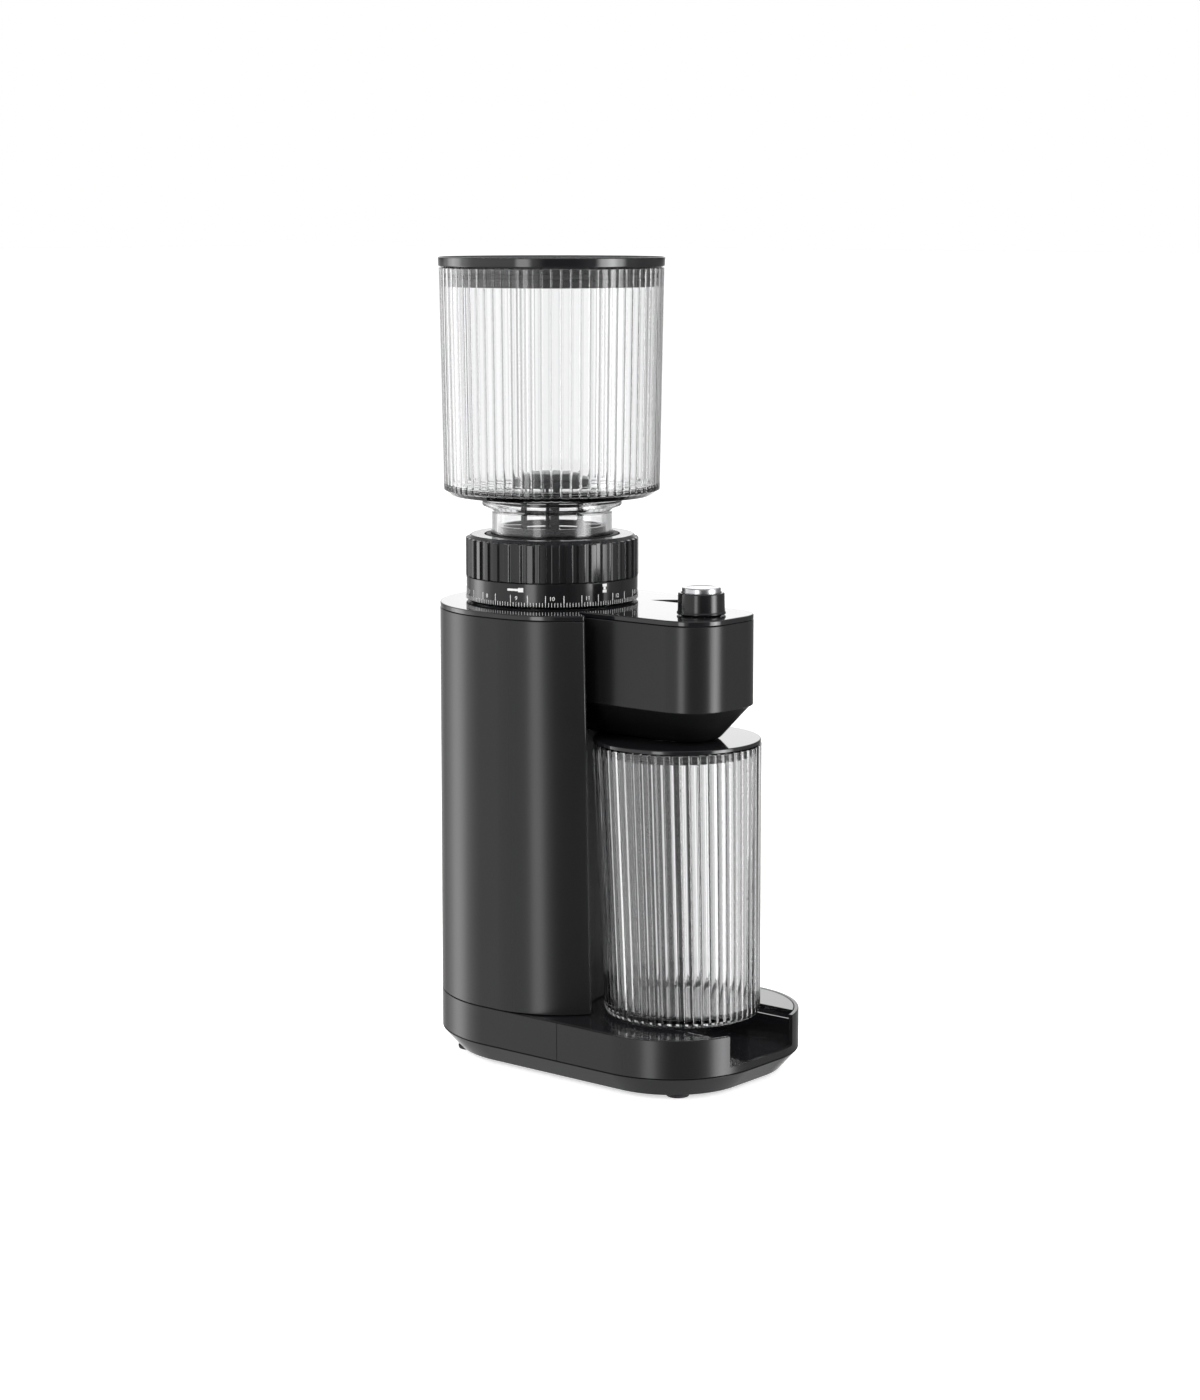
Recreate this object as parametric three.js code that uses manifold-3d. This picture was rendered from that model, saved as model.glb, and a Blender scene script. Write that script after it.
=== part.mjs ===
// Burr coffee grinder: an electric conical-burr grinder with a fluted clear hopper, a ribbed grind
// adjustment ring, a spout head with one push-and-turn knob, and a fluted grounds container.
// Millimetres. +Z is up, the front (the spout side) faces -Y, and the origin is the middle of the
// footprint on the table.

import * as THREE from 'three';
import { mergeVertices } from 'three/addons/utils/BufferGeometryUtils.js';
import Module from 'manifold-3d';

const wasm = await Module();
wasm.setup();

// ---- Driving dimensions ------------------------------------------------------------------------

const gap = 0.3; // between pieces that seat on or in each other
const fine = 36; // sides of a large round piece
const plain = 24; // sides of a middling one
const coarse = 12; // sides of a small one

// Base
const baseWidth = 123;
const baseLength = 194;
const baseFrontCorner = 48; // plan radius
const footHeight = 2;
const footRadius = 6;
const footPegRadius = 2.4;
const footSideSetback = 24.5; // foot centre from the base's side
const frontFootSetback = 25.5; // from the front of the base
const rearFootSetback = 31; // from the back of the base
const panHeight = 10;
const panInset = 8.7; // how far the chamfered pan draws in at its bottom
const panFloor = 2.4;
const bandHeight = 19.3;
const bandWall = 2.2;
const seamSetback = 111; // seam between the two bands, from the back of the base
const deckThickness = 4.3;
const trayDrop = 2.3; // step down from the wings to the tray
const trayHalfWidth = 34;
const channelHalfWidth = 26;
const channelDepth = 15.6; // from the deck's top to the channel's floor
const troughWall = 1.6;
const wireHoleRadius = 12;
const screwHeadRadius = 3;
const screwHeadHeight = 1;
const screwShankRadius = 1.5;
const screwLength = 14;
const screwBossRadius = 4;
const screwSideSetback = 17.5;
const frontScrewSetback = 38;
const rearScrewSetback = 47;
const glandRadius = 4.4;
const glandBore = 3.4;
const glandHeight = 20.4; // above the table

// Column
const columnLength = 122.5; // from the back of the base to the column's front
const columnFrontCorner = 50.5;
const housingHeight = 199.3;
const housingWall = 2.5;
const recessRadius = 47.2;
const plateThickness = 2.5;

// Hopper axis and everything turned about it
const hopperSetback = 56.5; // hopper axis from the back of the base
const ringRadius = 44.5;
const ringRibDepth = 1.2;
const ringRibs = 42;
const ringHeight = 33.4;
const ringLift = 0.8; // shadow gap under the ring's skirt
const scaleHeight = 12;
const scaleWall = 3;
const ringSleeveInner = 38.3;
const ringTopChamfer = 1.6;
const socketRadius = 34.2;
const socketHeight = 3;
const neckRadius = 31.2;
const neckBore = 28;
const neckInsertion = 6; // depth of the neck inside its socket
const neckHeight = 13.7; // visible neck
const flangeRadius = 36;
const flangeHeight = 4.2;
const hopperFloorRise = 5; // from the flange's top to the side wall
const hopperBottomRadius = 55.5;
const hopperTopRadius = 57.6;
const hopperWallHeight = 113;
const hopperWall = 1.6; // behind the flutes
const hopperFlutes = 72;
const hopperSkin = 2.4; // of the cup's underside
const fluteDepth = 1.2;
const guardRadius = 20;
const guardHeight = 27; // from its foot ring to the top of its dome
const guardThickness = 2;
const guardWall = 1.5;
const guardDomeHeight = 8;
const guardSetback = 7; // its foot ring above the neck's end
const guardFootHeight = 3;
const guardLegs = 4;
const guardLegWidth = 4.5;
const guardLegReach = 14.5;
const lidRadius = 58;
const lidThickness = 5.2;
const lidEdgeRadius = 1.8;
const lidPlugDepth = 10;
const lidPlugWall = 2.5;
const lidFit = 0.5; // between plug and hopper wall
const gasketDepth = 1.4;
const gasketHeight = 2.4;

// Head, spout and knob
const headReach = 118.5; // from the hopper axis to the head's front
const headHalfWidth = 29.4;
const headCorner = 21.9;
const headHeight = 42.9;
const headWall = 2.2;
const spoutReach = 82; // from the hopper axis to the spout axis
const chinHeight = 17;
const chinInset = 1.2;
const chinTipHalfWidth = 15;
const chinTipReach = 103.5; // from the hopper axis to the front of the chin's tip
const chinTipCorner = 12;
const chinWall = 2;
const spoutBore = 9;
const windowHalfWidth = 22; // way from the column into the head
const chuteWall = 1.5;
const chuteSlope = 0.8;
const chuteKnee = 6; // roof's bend, before the spout
const chuteRoofDrop = 10; // from the bend to the far wall
const knobReach = 97;
const knobRadius = 12.2;
const knobTopRadius = 11.6;
const knobHeight = 10.7;
const knobWall = 1.8;
const knobLift = 0.5;
const buttonRadius = 9.7;
const buttonHeight = 3.4;
const buttonProud = 2.6;
const buttonTravel = 1.4;
const springRadius = 6;
const springWire = 0.5;
const springTurns = 2.5;
const buttonSkin = 1.2; // top of the hollow button
const buttonStemRadius = 2;
const knobWellSkin = 1.5;
const encoderShaftRadius = 3;
const encoderRadius = 6.5;
const boardThickness = 1.6;
const controlBoardDrop = 8; // board's top under the top plate
const controlBoardLength = 44.3;
const controlBoardClearance = 6; // to the head's front wall
const controlBoardSideClearance = 9;

// Container
const containerBottomRadius = 39.4;
const containerTopRadius = 42.5;
const containerLean = 4; // the bottom stands this much further forward than the rim
const containerFloor = 3;
const containerWall = 1.8;
const containerFlutes = 54;
const containerLidThickness = 2;
const containerLidPlug = 5.5;
const containerLidHole = 12;
const containerLidDrop = 0.4; // from the chin's tip to the lid
const containerLidFit = 0.8; // between plug and container wall
const containerPlugWall = 3.5;
const containerPlugFoot = 1.2; // under the seal
const containerSealHeight = 1.8;

// Grinding mechanism
const chamberRadius = 36.6;
const chamberWall = 3.5;
const chamberDepth = 27;
const chamberFloor = 3;
const chamberStandUp = 3; // how far the chamber stands out of the top plate
const exitWidth = 17;
const exitHeight = 15;
const carrierTravel = 0.6; // each way from the middle of the adjustment
const carrierRadius = 37.9;
const carrierSkirtRadius = 31.5; // inside the chamber
const burrDrop = 14.4; // the outer burr's reach below the chamber's top
const outerBurrRadius = 27;
const outerBurrBore = 17;
const outerBurrMouth = 21.8;
const outerBurrHeight = 14;
const outerBurrTeeth = 36;
const coneBurrRadius = 22.2;
const coneBurrTop = 13;
const coneBurrHeight = 20;
const coneBurrTeeth = 12;
const spindleRadius = 4.5;
const burrScrewHeight = 5;
const burrScrewWasher = 2;
const sweeperRadius = 31.5;
const sweeperHeight = 3;
const sweeperPlateRadius = 20;
const sweeperVaneHalfWidth = 1.5;
const bearingRadius = 11;
const bearingWidth = 5;
const chassisThickness = 2.5;
const wireWayRadius = 7; // holes for the leads in chassis plate and motor shelf
const wireWayReach = 42;
const gearModule = 1;
const driveTeeth = 34;
const pinionTeeth = 11;
const gearThickness = 8;
const pinionThickness = 12;
const gearboxHalfWidth = 22;
const gearboxMotorReach = 12; // past the motor's axis
const gearboxCorner = 10;
const gearboxCoverThickness = 8;
const gearboxBaseHeight = 26;
const gearboxWall = 2.5;
const motorRadius = 27;
const motorStandUp = 48.4; // from the deck to the motor's foot
const motorWall = 1.8;
const motorFloor = 2.5;
const motorSlotStart = 9; // air slots in the can's floor, from the shaft
const motorSlotEnd = 19;
const motorSlotHalfWidth = 3;
const endBellSeat = 3; // depth of the end bell in the can
const endBellBossRadius = 7;
const endBellBossDepth = 9;
const magnetThickness = 4;
const magnetSetback = 16; // above the can's foot
const magnetHeadroom = 14; // under the motor's top
const commutatorRadius = 8;
const commutatorLength = 10;
const armatureRadius = 19;
const armatureSetback = 2; // from either end of the magnets
const motorShaftRadius = 2.5;
const fanRadius = 20;
const fanBlades = 7;
const fanHeight = 9;
const fanHubRadius = 6;
const fanBladeThickness = 1.6;
const powerBoardWidth = 66;
const powerBoardLength = 62;
const powerBoardLift = 6;
const transformerSize = 26;
const transformerHeight = 18;
const standoffRadius = 2.6;
const standoffInset = 5; // from the board's edges

// ---- Places worked out from them ---------------------------------------------------------------

// The hopper's lid hangs over the base's back, so the footprint's middle is behind the base's.
const overhang = Math.max(0, lidRadius - hopperSetback);
const backY = (baseLength - overhang) / 2;
const frontY = backY - baseLength;
const hopperY = backY - hopperSetback;
const columnFrontY = backY - columnLength;
const headFrontY = hopperY - headReach;
const spoutY = hopperY - spoutReach;
const knobY = hopperY - knobReach;
const seamY = backY - seamSetback;

const panTop = footHeight + panHeight;
const bandBottom = panTop + gap;
const deckTop = bandBottom + bandHeight;
const deckBottom = deckTop - deckThickness;
const housingBottom = deckTop + gap;
const housingTop = housingBottom + housingHeight;
const plateBottom = housingTop + gap;
const plateTop = plateBottom + plateThickness;
const headBottom = housingTop - headHeight;
const chinBottom = headBottom - chinHeight;
const containerBottom = deckTop + gap;
const containerLidTop = chinBottom - containerLidDrop;
const containerLidBottom = containerLidTop - containerLidThickness;
const containerTop = containerLidBottom - gap;
const containerHeight = containerTop - containerBottom;
const ringTop = plateTop + ringLift + ringHeight;
const socketTop = ringTop + gap;
const neckBottom = socketTop + gap - neckInsertion;
const flangeBottom = socketTop + neckHeight;
const flangeTop = flangeBottom + flangeHeight;
const hopperWallBottom = flangeTop + hopperFloorRise;
const hopperTop = hopperWallBottom + hopperWallHeight;
const lidBottom = hopperTop + gap;
const lidTop = lidBottom + lidThickness;
const chamberTop = plateTop + chamberStandUp;
const chamberBottom = chamberTop - chamberDepth;
const chassisTop = chamberBottom - gap;
const gearboxTop = chassisTop - chassisThickness - gap;
const gearboxSplit = gearboxTop - gearboxCoverThickness;
const gearboxBottom = gearboxSplit - gap - gearboxBaseHeight;
const gearDistance = (gearModule * (driveTeeth + pinionTeeth)) / 2;
const motorY = hopperY + gearDistance;
const motorTop = gearboxBottom - gap;
const motorBottom = housingBottom + motorStandUp;
const magnetBottom = motorBottom + magnetSetback;
const magnetLength = motorTop - magnetHeadroom - magnetBottom;
const armatureBottom = magnetBottom + armatureSetback;
const armatureLength = magnetLength - 2 * armatureSetback;

// ---- Finishes ----------------------------------------------------------------------------------

const finish = (color, roughness, metalness) => ({ color, roughness, metalness });
const charcoal = finish(0x3d3d3e, 0.42, 0.6);
const gloss = finish(0x101012, 0.12, 0.1);
const blackPlastic = finish(0x0d0d0e, 0.45, 0);
const ribbed = finish(0x1c1c1e, 0.38, 0.2);
const clear = finish(0xe9edef, 0.08, 0);
const rubber = finish(0x161616, 0.85, 0);
const steel = finish(0xb4b6b8, 0.3, 1);
const silver = finish(0xd5d6d8, 0.22, 1);
const castAlloy = finish(0x8c8f92, 0.5, 0.9);
const copper = finish(0xa86a3a, 0.35, 1);
const magnetGrey = finish(0x4a4a4c, 0.6, 0.4);
const nylon = finish(0xe4e1d6, 0.55, 0);
const boardGreen = finish(0x1d5a35, 0.5, 0);

// ---- Shape helpers -----------------------------------------------------------------------------

/** A closed mesh with shared vertices, no empty triangles and its faces pointing out. */
function weld(geometry) {
  geometry.deleteAttribute('normal');
  geometry.deleteAttribute('uv');
  const merged = mergeVertices(geometry, 1e-4);
  const corners = merged.index.array;
  const position = merged.attributes.position;
  const kept = [];
  let volume = 0;
  for (let i = 0; i < corners.length; i += 3) {
    const [a, b, c] = [corners[i], corners[i + 1], corners[i + 2]];
    if (a === b || b === c || c === a) continue;
    kept.push(a, b, c);
    const [p, q, r] = [a, b, c].map((k) => new THREE.Vector3().fromBufferAttribute(position, k));
    volume += p.dot(q.cross(r));
  }
  merged.setIndex(volume < 0 ? kept.reverse() : kept);
  return merged;
}

/** Points of an arc about (x, y), ends included. */
function arcPoints(x, y, radius, from, to, steps) {
  return Array.from({ length: steps + 1 }, (_, i) => {
    const angle = from + ((to - from) * i) / steps;
    return new THREE.Vector2(x + radius * Math.cos(angle), y + radius * Math.sin(angle));
  });
}

/** The same outline without points that lie on the one before. */
function distinct(points) {
  return points.filter((point, i) => {
    const before = points[(i + points.length - 1) % points.length];
    return point.distanceTo(before) > 1e-5;
  });
}

/**
 * A plan with straight sides and rounded corners, drawn in by `inset`. A front corner takes no more
 * than the side that the back corner leaves it.
 */
function roundedPlan({ half, back, front, backRadius, frontRadius }, inset = 0, steps = 9) {
  const w = half - inset;
  const rb = Math.max(backRadius - inset, 0);
  const rf = Math.max(Math.min(frontRadius, back - front - backRadius) - inset, 0);
  const yb = back - inset - rb;
  const yf = front + inset + rf;
  const quarter = Math.PI / 2;
  return distinct([
    ...arcPoints(w - rb, yb, rb, 0, quarter, steps),
    ...arcPoints(rb - w, yb, rb, quarter, 2 * quarter, steps),
    ...arcPoints(rf - w, yf, rf, 2 * quarter, 3 * quarter, steps),
    ...arcPoints(w - rf, yf, rf, 3 * quarter, 4 * quarter, steps),
  ]);
}

/** A round plan whose edge goes in and out `count` times, starting with a crest. */
function flutedPlan(radius, depth, count) {
  return Array.from({ length: 2 * count }, (_, i) => {
    const r = i % 2 ? radius - depth : radius;
    const angle = (Math.PI * i) / count;
    return new THREE.Vector2(r * Math.cos(angle), r * Math.sin(angle));
  });
}

/** A plan pulled straight up from one height to another. */
function prism(outline, bottom, top) {
  const depth = top - bottom;
  const geometry = new THREE.ExtrudeGeometry(new THREE.Shape(outline), { depth, bevelEnabled: false });
  return weld(geometry.translate(0, 0, bottom));
}

/** A solid between two plans with equally many points, one at each height. */
function loft(lower, bottom, upper, top) {
  const count = lower.length;
  const points = [
    ...lower.map(({ x, y }) => [x, y, bottom]),
    ...upper.map(({ x, y }) => [x, y, top]),
  ];
  const cap = THREE.ShapeUtils.triangulateShape(lower, []);
  const walls = lower.flatMap((_, i) => {
    const next = (i + 1) % count;
    return [[i, next, i + count], [next, next + count, i + count]];
  });
  const faces = [
    ...cap.map(([a, b, c]) => [c, b, a]),
    ...cap.map((face) => face.map((corner) => corner + count)),
    ...walls,
  ];
  const geometry = new THREE.BufferGeometry();
  geometry.setAttribute('position', new THREE.Float32BufferAttribute(points.flat(), 3));
  geometry.setIndex(faces.flat());
  return weld(geometry);
}

/** A profile of [radius, height] pairs turned about the Z axis; it closes on the axis or on itself. */
function turned(profile, segments = fine) {
  const points = profile.map(([radius, height]) => new THREE.Vector2(radius, height));
  if (profile[0][0] > 0) points.push(points[0].clone());
  return weld(new THREE.LatheGeometry(points, segments).rotateX(Math.PI / 2));
}

/** A plain round bar or disc. */
function disc(radius, bottom, top, segments = fine) {
  return turned([[0, bottom], [radius, bottom], [radius, top], [0, top]], segments);
}

/** A plain tube or washer. */
function tube(inner, outer, bottom, top, segments = fine) {
  return turned([[inner, bottom], [outer, bottom], [outer, top], [inner, top]], segments);
}

/** A box between two corners. */
function block(x0, x1, y0, y1, z0, z1) {
  const geometry = new THREE.BoxGeometry(x1 - x0, y1 - y0, z1 - z0);
  return weld(geometry.translate((x0 + x1) / 2, (y0 + y1) / 2, (z0 + z1) / 2));
}

/** A box that lies evenly on both sides of the middle plane. */
function centred(halfWidth, y0, y1, z0, z1) {
  return block(-halfWidth, halfWidth, y0, y1, z0, z1);
}

/** Moves each point of a geometry to where `move` puts it. */
function reshape(geometry, move) {
  const position = geometry.attributes.position;
  for (let i = 0; i < position.count; i += 1) {
    const [x, y, z] = move(position.getX(i), position.getY(i), position.getZ(i));
    position.setXYZ(i, x, y, z);
  }
  return geometry;
}

/** Places a geometry made about the Z axis at (x, y). */
const at = (x, y, geometry) => geometry.translate(x, y, 0);
const atHopper = (geometry) => at(0, hopperY, geometry);
const atSpout = (geometry) => at(0, spoutY, geometry);
const atKnob = (geometry) => at(0, knobY, geometry);
const atMotor = (geometry) => at(0, motorY, geometry);

/** Copies of a geometry turned about the Z axis. */
function around(count, geometry, start = 0) {
  return Array.from({ length: count }, (_, i) => {
    return geometry.clone().rotateZ(start + (2 * Math.PI * i) / count);
  });
}

function toManifold(geometry) {
  return new wasm.Manifold(new wasm.Mesh({
    numProp: 3,
    vertProperties: Float32Array.from(geometry.attributes.position.array),
    triVerts: Uint32Array.from(geometry.index.array),
  }));
}

function fromManifold(manifold) {
  const mesh = manifold.getMesh();
  const geometry = new THREE.BufferGeometry();
  geometry.setAttribute('position', new THREE.Float32BufferAttribute(mesh.vertProperties, 3));
  geometry.setIndex([...mesh.triVerts]);
  return geometry;
}

/** Several overlapping bodies as one. */
function join(...bodies) {
  return fromManifold(bodies.map(toManifold).reduce((sum, body) => sum.add(body)));
}

/** A body without what the tools take away. */
function cut(body, ...tools) {
  return fromManifold(tools.map(toManifold).reduce((rest, tool) => rest.subtract(tool), toManifold(body)));
}

/** What two bodies share. */
function common(first, second) {
  return fromManifold(toManifold(first).intersect(toManifold(second)));
}

// ---- Outlines ----------------------------------------------------------------------------------

const basePlan = {
  half: baseWidth / 2, back: backY, front: frontY, backRadius: baseWidth / 2, frontRadius: baseFrontCorner,
};
const columnPlan = { ...basePlan, front: columnFrontY, frontRadius: columnFrontCorner };
const headPlan = {
  half: headHalfWidth, back: hopperY, front: headFrontY, backRadius: 0, frontRadius: headCorner,
};

/** How far up the container a height is, from 0 at its bottom to 1 at its rim. */
const rise = (z) => (z - containerBottom) / containerHeight;
const containerRadius = (z) => {
  return containerBottomRadius + (containerTopRadius - containerBottomRadius) * rise(z);
};
const containerAxisY = (z) => spoutY - containerLean * (1 - rise(z));

/** Tips an upright geometry so that it follows the container's leaning axis. */
const lean = (geometry) => reshape(geometry, (x, y, z) => [x, y + containerAxisY(z), z]);

/** The round space in front of the column, drawn in by `inset`. */
function recess(inset, bottom, top) {
  return lean(disc(recessRadius - inset, bottom, top, fine));
}

/** The column's outline pulled up, its front hollowed by the recess; `inset` draws both in. */
function columnBlock(inset, bottom, top) {
  return cut(prism(roundedPlan(columnPlan, inset), bottom, top), recess(-inset, bottom - 1, top + 1));
}

/** The head's outline pulled up, from its front to the recess behind it. */
function headBlock(inset, bottom, top) {
  return common(prism(roundedPlan(headPlan, inset), bottom, top), recess(gap + inset, bottom - 1, top + 1));
}

// ---- The object --------------------------------------------------------------------------------

const grinder = new THREE.Group();

/** Adds one named piece. */
function piece(name, geometry, look) {
  const mesh = new THREE.Mesh(geometry, new THREE.MeshStandardMaterial(look));
  mesh.name = name;
  grinder.add(mesh);
}

/** Four places that mirror each other, from their setbacks from the base's side, front and back. */
function fourPlaces(side, front, back) {
  const x = baseWidth / 2 - side;
  return [[x, frontY + front], [-x, frontY + front], [x, backY - back], [-x, backY - back]];
}

const footPlaces = fourPlaces(footSideSetback, frontFootSetback, rearFootSetback);
const screwPlaces = fourPlaces(screwSideSetback, frontScrewSetback, rearScrewSetback);

/** Chamfered pan that closes the base underneath. */
function basePan() {
  const outside = loft(roundedPlan(basePlan, panInset), footHeight, roundedPlan(basePlan), panTop);
  const inside = loft(
    roundedPlan(basePlan, panInset + bandWall), footHeight + panFloor,
    roundedPlan(basePlan, bandWall), panTop + 1,
  );
  const pegHoles = footPlaces.map(([x, y]) => at(x, y, disc(footPegRadius + gap, 0, panTop, coarse)));
  const screwHoles = screwPlaces.flatMap(([x, y]) => [
    at(x, y, disc(screwShankRadius + gap, 0, panTop, 12)),
    at(x, y, disc(screwHeadRadius + gap, 0, footHeight + screwHeadHeight, 12)),
  ]);
  return cut(outside, inside, ...pegHoles, ...screwHoles);
}

function foot() {
  const top = footHeight - gap;
  const pegTop = footHeight + panFloor + 1;
  return turned([
    [0, 0], [footRadius - 0.6, 0], [footRadius, 0.6], [footRadius, top],
    [footPegRadius, top], [footPegRadius, pegTop], [0, pegTop],
  ], coarse);
}

/** Screw that holds the pan to a boss of the deck. */
function baseScrew() {
  const headBottomZ = footHeight + gap;
  const shoulder = footHeight + screwHeadHeight;
  const tip = headBottomZ + screwLength;
  return turned([
    [0, headBottomZ], [screwHeadRadius, headBottomZ], [screwHeadRadius, shoulder],
    [screwShankRadius, shoulder], [screwShankRadius, tip - 1], [0, tip],
  ], 12);
}

/** One of the two walls that wrap round the base, between two distances from the back. */
function band(from, to) {
  const ring = cut(
    prism(roundedPlan(basePlan), bandBottom, deckTop),
    prism(roundedPlan(basePlan, bandWall), bandBottom - 1, deckTop + 1),
  );
  return common(ring, centred(baseWidth, to, from, bandBottom - 1, deckTop + 1));
}

function frontBand() {
  const notch = centred(channelHalfWidth, frontY - 1, frontY + baseFrontCorner,
    deckTop - channelDepth, deckTop + 1);
  return cut(band(seamY - gap, frontY - 1), notch);
}

function rearBand() {
  const hole = disc(glandRadius + gap, 0, 3 * bandWall, coarse).rotateX(-Math.PI / 2);
  return cut(band(backY + 1, seamY), hole.translate(0, backY - 2 * bandWall, glandHeight));
}

/** Bush in the back wall where the mains lead would come in. */
function cordGland() {
  const face = 0.2; // stays just inside the curved wall
  const inner = bandWall + 3 * gap; // clears the wall's curve
  return turned([
    [glandBore, face], [glandRadius, face], [glandRadius, inner],
    [glandRadius + 2, inner], [glandRadius + 2, inner + 2], [glandBore, inner + 2],
  ], coarse).rotateX(Math.PI / 2).translate(0, backY, glandHeight);
}

/** A slot plan, open to the front and round at the back, about the container's foot. */
function slotPlan(halfWidth, front) {
  const centre = containerAxisY(containerBottom);
  return [
    new THREE.Vector2(halfWidth, front),
    ...arcPoints(0, centre, halfWidth, 0, Math.PI, 16),
    new THREE.Vector2(-halfWidth, front),
  ];
}

/** Glossy top of the base: two wings, a tray one step down, and a channel open to the front. */
function baseDeck() {
  const edge = bandWall + gap;
  const channelFloor = deckTop - channelDepth;
  const body = prism(roundedPlan(basePlan, edge), deckBottom, deckTop);
  const trough = common(
    prism(slotPlan(channelHalfWidth + troughWall, frontY), channelFloor - troughWall, deckTop),
    prism(roundedPlan(basePlan, edge), 0, deckTop),
  );
  const bosses = screwPlaces.map(([x, y]) => {
    return at(x, y, disc(screwBossRadius, footHeight + panFloor + gap, deckBottom + 1, 12));
  });
  const standoffs = boardCorners().map(([x, y]) => {
    return at(x, y, disc(standoffRadius, deckTop - 1, deckTop + powerBoardLift - gap, 10));
  });
  const pilotTop = footHeight + gap + screwLength + 1;
  return cut(
    join(body, trough, ...bosses, ...standoffs),
    prism(slotPlan(trayHalfWidth, frontY - 1), deckTop - trayDrop, deckTop + 1),
    prism(slotPlan(channelHalfWidth, frontY - 1), channelFloor, deckTop + 1),
    atHopper(disc(wireHoleRadius, deckBottom - 1, deckTop + 1, coarse)),
    ...screwPlaces.map(([x, y]) => at(x, y, disc(screwShankRadius + gap, 0, pilotTop, 12))),
  );
}

/** Corners at which the power board stands. */
function boardCorners() {
  const [x, y] = [powerBoardWidth / 2 - standoffInset, powerBoardLength / 2 - standoffInset];
  return [[x, y], [-x, y], [x, -y], [-x, -y]].map(([dx, dy]) => [dx, hopperY + dy]);
}

piece('base_pan', basePan(), charcoal);
footPlaces.forEach(([x, y], i) => piece(`foot_${i + 1}`, at(x, y, foot()), rubber));
screwPlaces.forEach(([x, y], i) => piece(`base_screw_${i + 1}`, at(x, y, baseScrew()), steel));
piece('base_front_band', frontBand(), charcoal);
piece('base_rear_band', rearBand(), charcoal);
piece('base_deck', baseDeck(), gloss);
piece('cord_gland', cordGland(), rubber);

// ---- Column, top plate and head ----------------------------------------------------------------

const boardTop = plateBottom - controlBoardDrop;
const boardFront = headFrontY + headWall + controlBoardClearance;
const boardBack = boardFront + controlBoardLength;
const boardHalfWidth = headHalfWidth - headWall - controlBoardSideClearance;
const boardHoles = [1, -1].map((side) => [side * (boardHalfWidth - 5), boardBack - 4]);

/** Way for the grounds between column and head. */
const headWindow = () => {
  return centred(windowHalfWidth, columnFrontY, hopperY, headBottom + headWall, housingTop + 1);
};

function columnHousing() {
  return cut(
    columnBlock(0, housingBottom, housingTop),
    columnBlock(housingWall, housingBottom - 1, housingTop + 1),
    headWindow(),
  );
}

function headShell() {
  return cut(
    headBlock(0, headBottom, housingTop),
    headBlock(headWall, headBottom - 1, housingTop + 1),
    headWindow(),
  );
}

/** One plate over column and head, with bosses underneath for the control board. */
function topPlate() {
  const bosses = boardHoles.map(([x, y]) => {
    return at(x, y, disc(standoffRadius, boardTop + gap, plateBottom + 1, 12));
  });
  return cut(
    join(
      columnBlock(0, plateBottom, plateTop),
      prism(roundedPlan(headPlan), plateBottom, plateTop),
      ...bosses,
    ),
    atHopper(disc(chamberRadius + gap, plateBottom - 1, plateTop + 1)),
    atKnob(disc(encoderShaftRadius + 2 * gap, plateBottom - 1, plateTop + 1, coarse)),
  );
}

/** Black funnel under the head that leads the grounds down into the container. */
function headChin() {
  const tip = {
    ...headPlan, half: chinTipHalfWidth, front: hopperY - chinTipReach, frontRadius: chinTipCorner,
  };
  const outside = loft(roundedPlan(tip, 0, 6), chinBottom, roundedPlan(headPlan, chinInset, 6), headBottom);
  const inside = loft(
    roundedPlan(tip, chinWall, 6), chinBottom + chinWall,
    roundedPlan(headPlan, chinInset + chinWall, 6), headBottom,
  );
  const collar = headWall + gap;
  const collarTop = headBottom + 3;
  const collarRing = cut(
    headBlock(collar, headBottom - 1, collarTop),
    headBlock(collar + chinWall, headBottom - 2, collarTop + 1),
  );
  const lip = common(
    cut(
      prism(roundedPlan(headPlan, chinInset), headBottom - 1.2, headBottom - gap / 2),
      prism(roundedPlan(headPlan, collar + chinWall), headBottom - 2, headBottom + 1),
    ),
    recess(gap, headBottom - 2, headBottom + 1),
  );
  const rearWall = cut(
    common(outside, recess(gap, chinBottom - 1, headBottom + 1)),
    common(inside, recess(gap + chinWall, chinBottom - 1, headBottom + 1)),
  );
  const spout = atSpout(disc(spoutBore + chinWall, chinBottom, headBottom, 24));
  return cut(
    join(rearWall, lip, collarRing, spout),
    atSpout(disc(spoutBore, chinBottom - 1, headBottom + 1, 24)),
  );
}

/** Duct from the grinding chamber's exit to the spout. */
function groundsChute() {
  const side = (wall) => {
    const back = hopperY - chamberRadius - gap;
    const low = chamberBottom + chamberFloor - wall;
    const high = low + exitHeight + 2 * wall;
    const half = exitWidth / 2 + wall;
    const end = headBottom + gap;
    const past = wall > 0 ? 0 : 1;
    const slope = chuteSlope * (back - spoutY - half);
    return [
      [back + past, low], [back + past, high], [spoutY + half + chuteKnee, high - slope / 2],
      [spoutY - half, high - slope / 2 - chuteRoofDrop], [spoutY - half, end - past],
      [spoutY + half, end - past],
      [spoutY + half, low - slope / 2],
    ];
  };
  const duct = (wall) => {
    const outline = side(wall).map(([y, z]) => new THREE.Vector2(y, z));
    const half = exitWidth / 2 + wall;
    const geometry = prism(outline, -half, half);
    return weld(reshape(geometry, (y, z, x) => [x, y, z]));
  };
  return cut(duct(chuteWall), duct(0));
}

piece('column_housing', columnHousing(), charcoal);
piece('head_shell', headShell(), charcoal);
piece('top_plate', topPlate(), gloss);
piece('head_chin', headChin(), blackPlastic);
piece('grounds_chute', groundsChute(), blackPlastic);

// ---- Knob --------------------------------------------------------------------------------------

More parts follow.
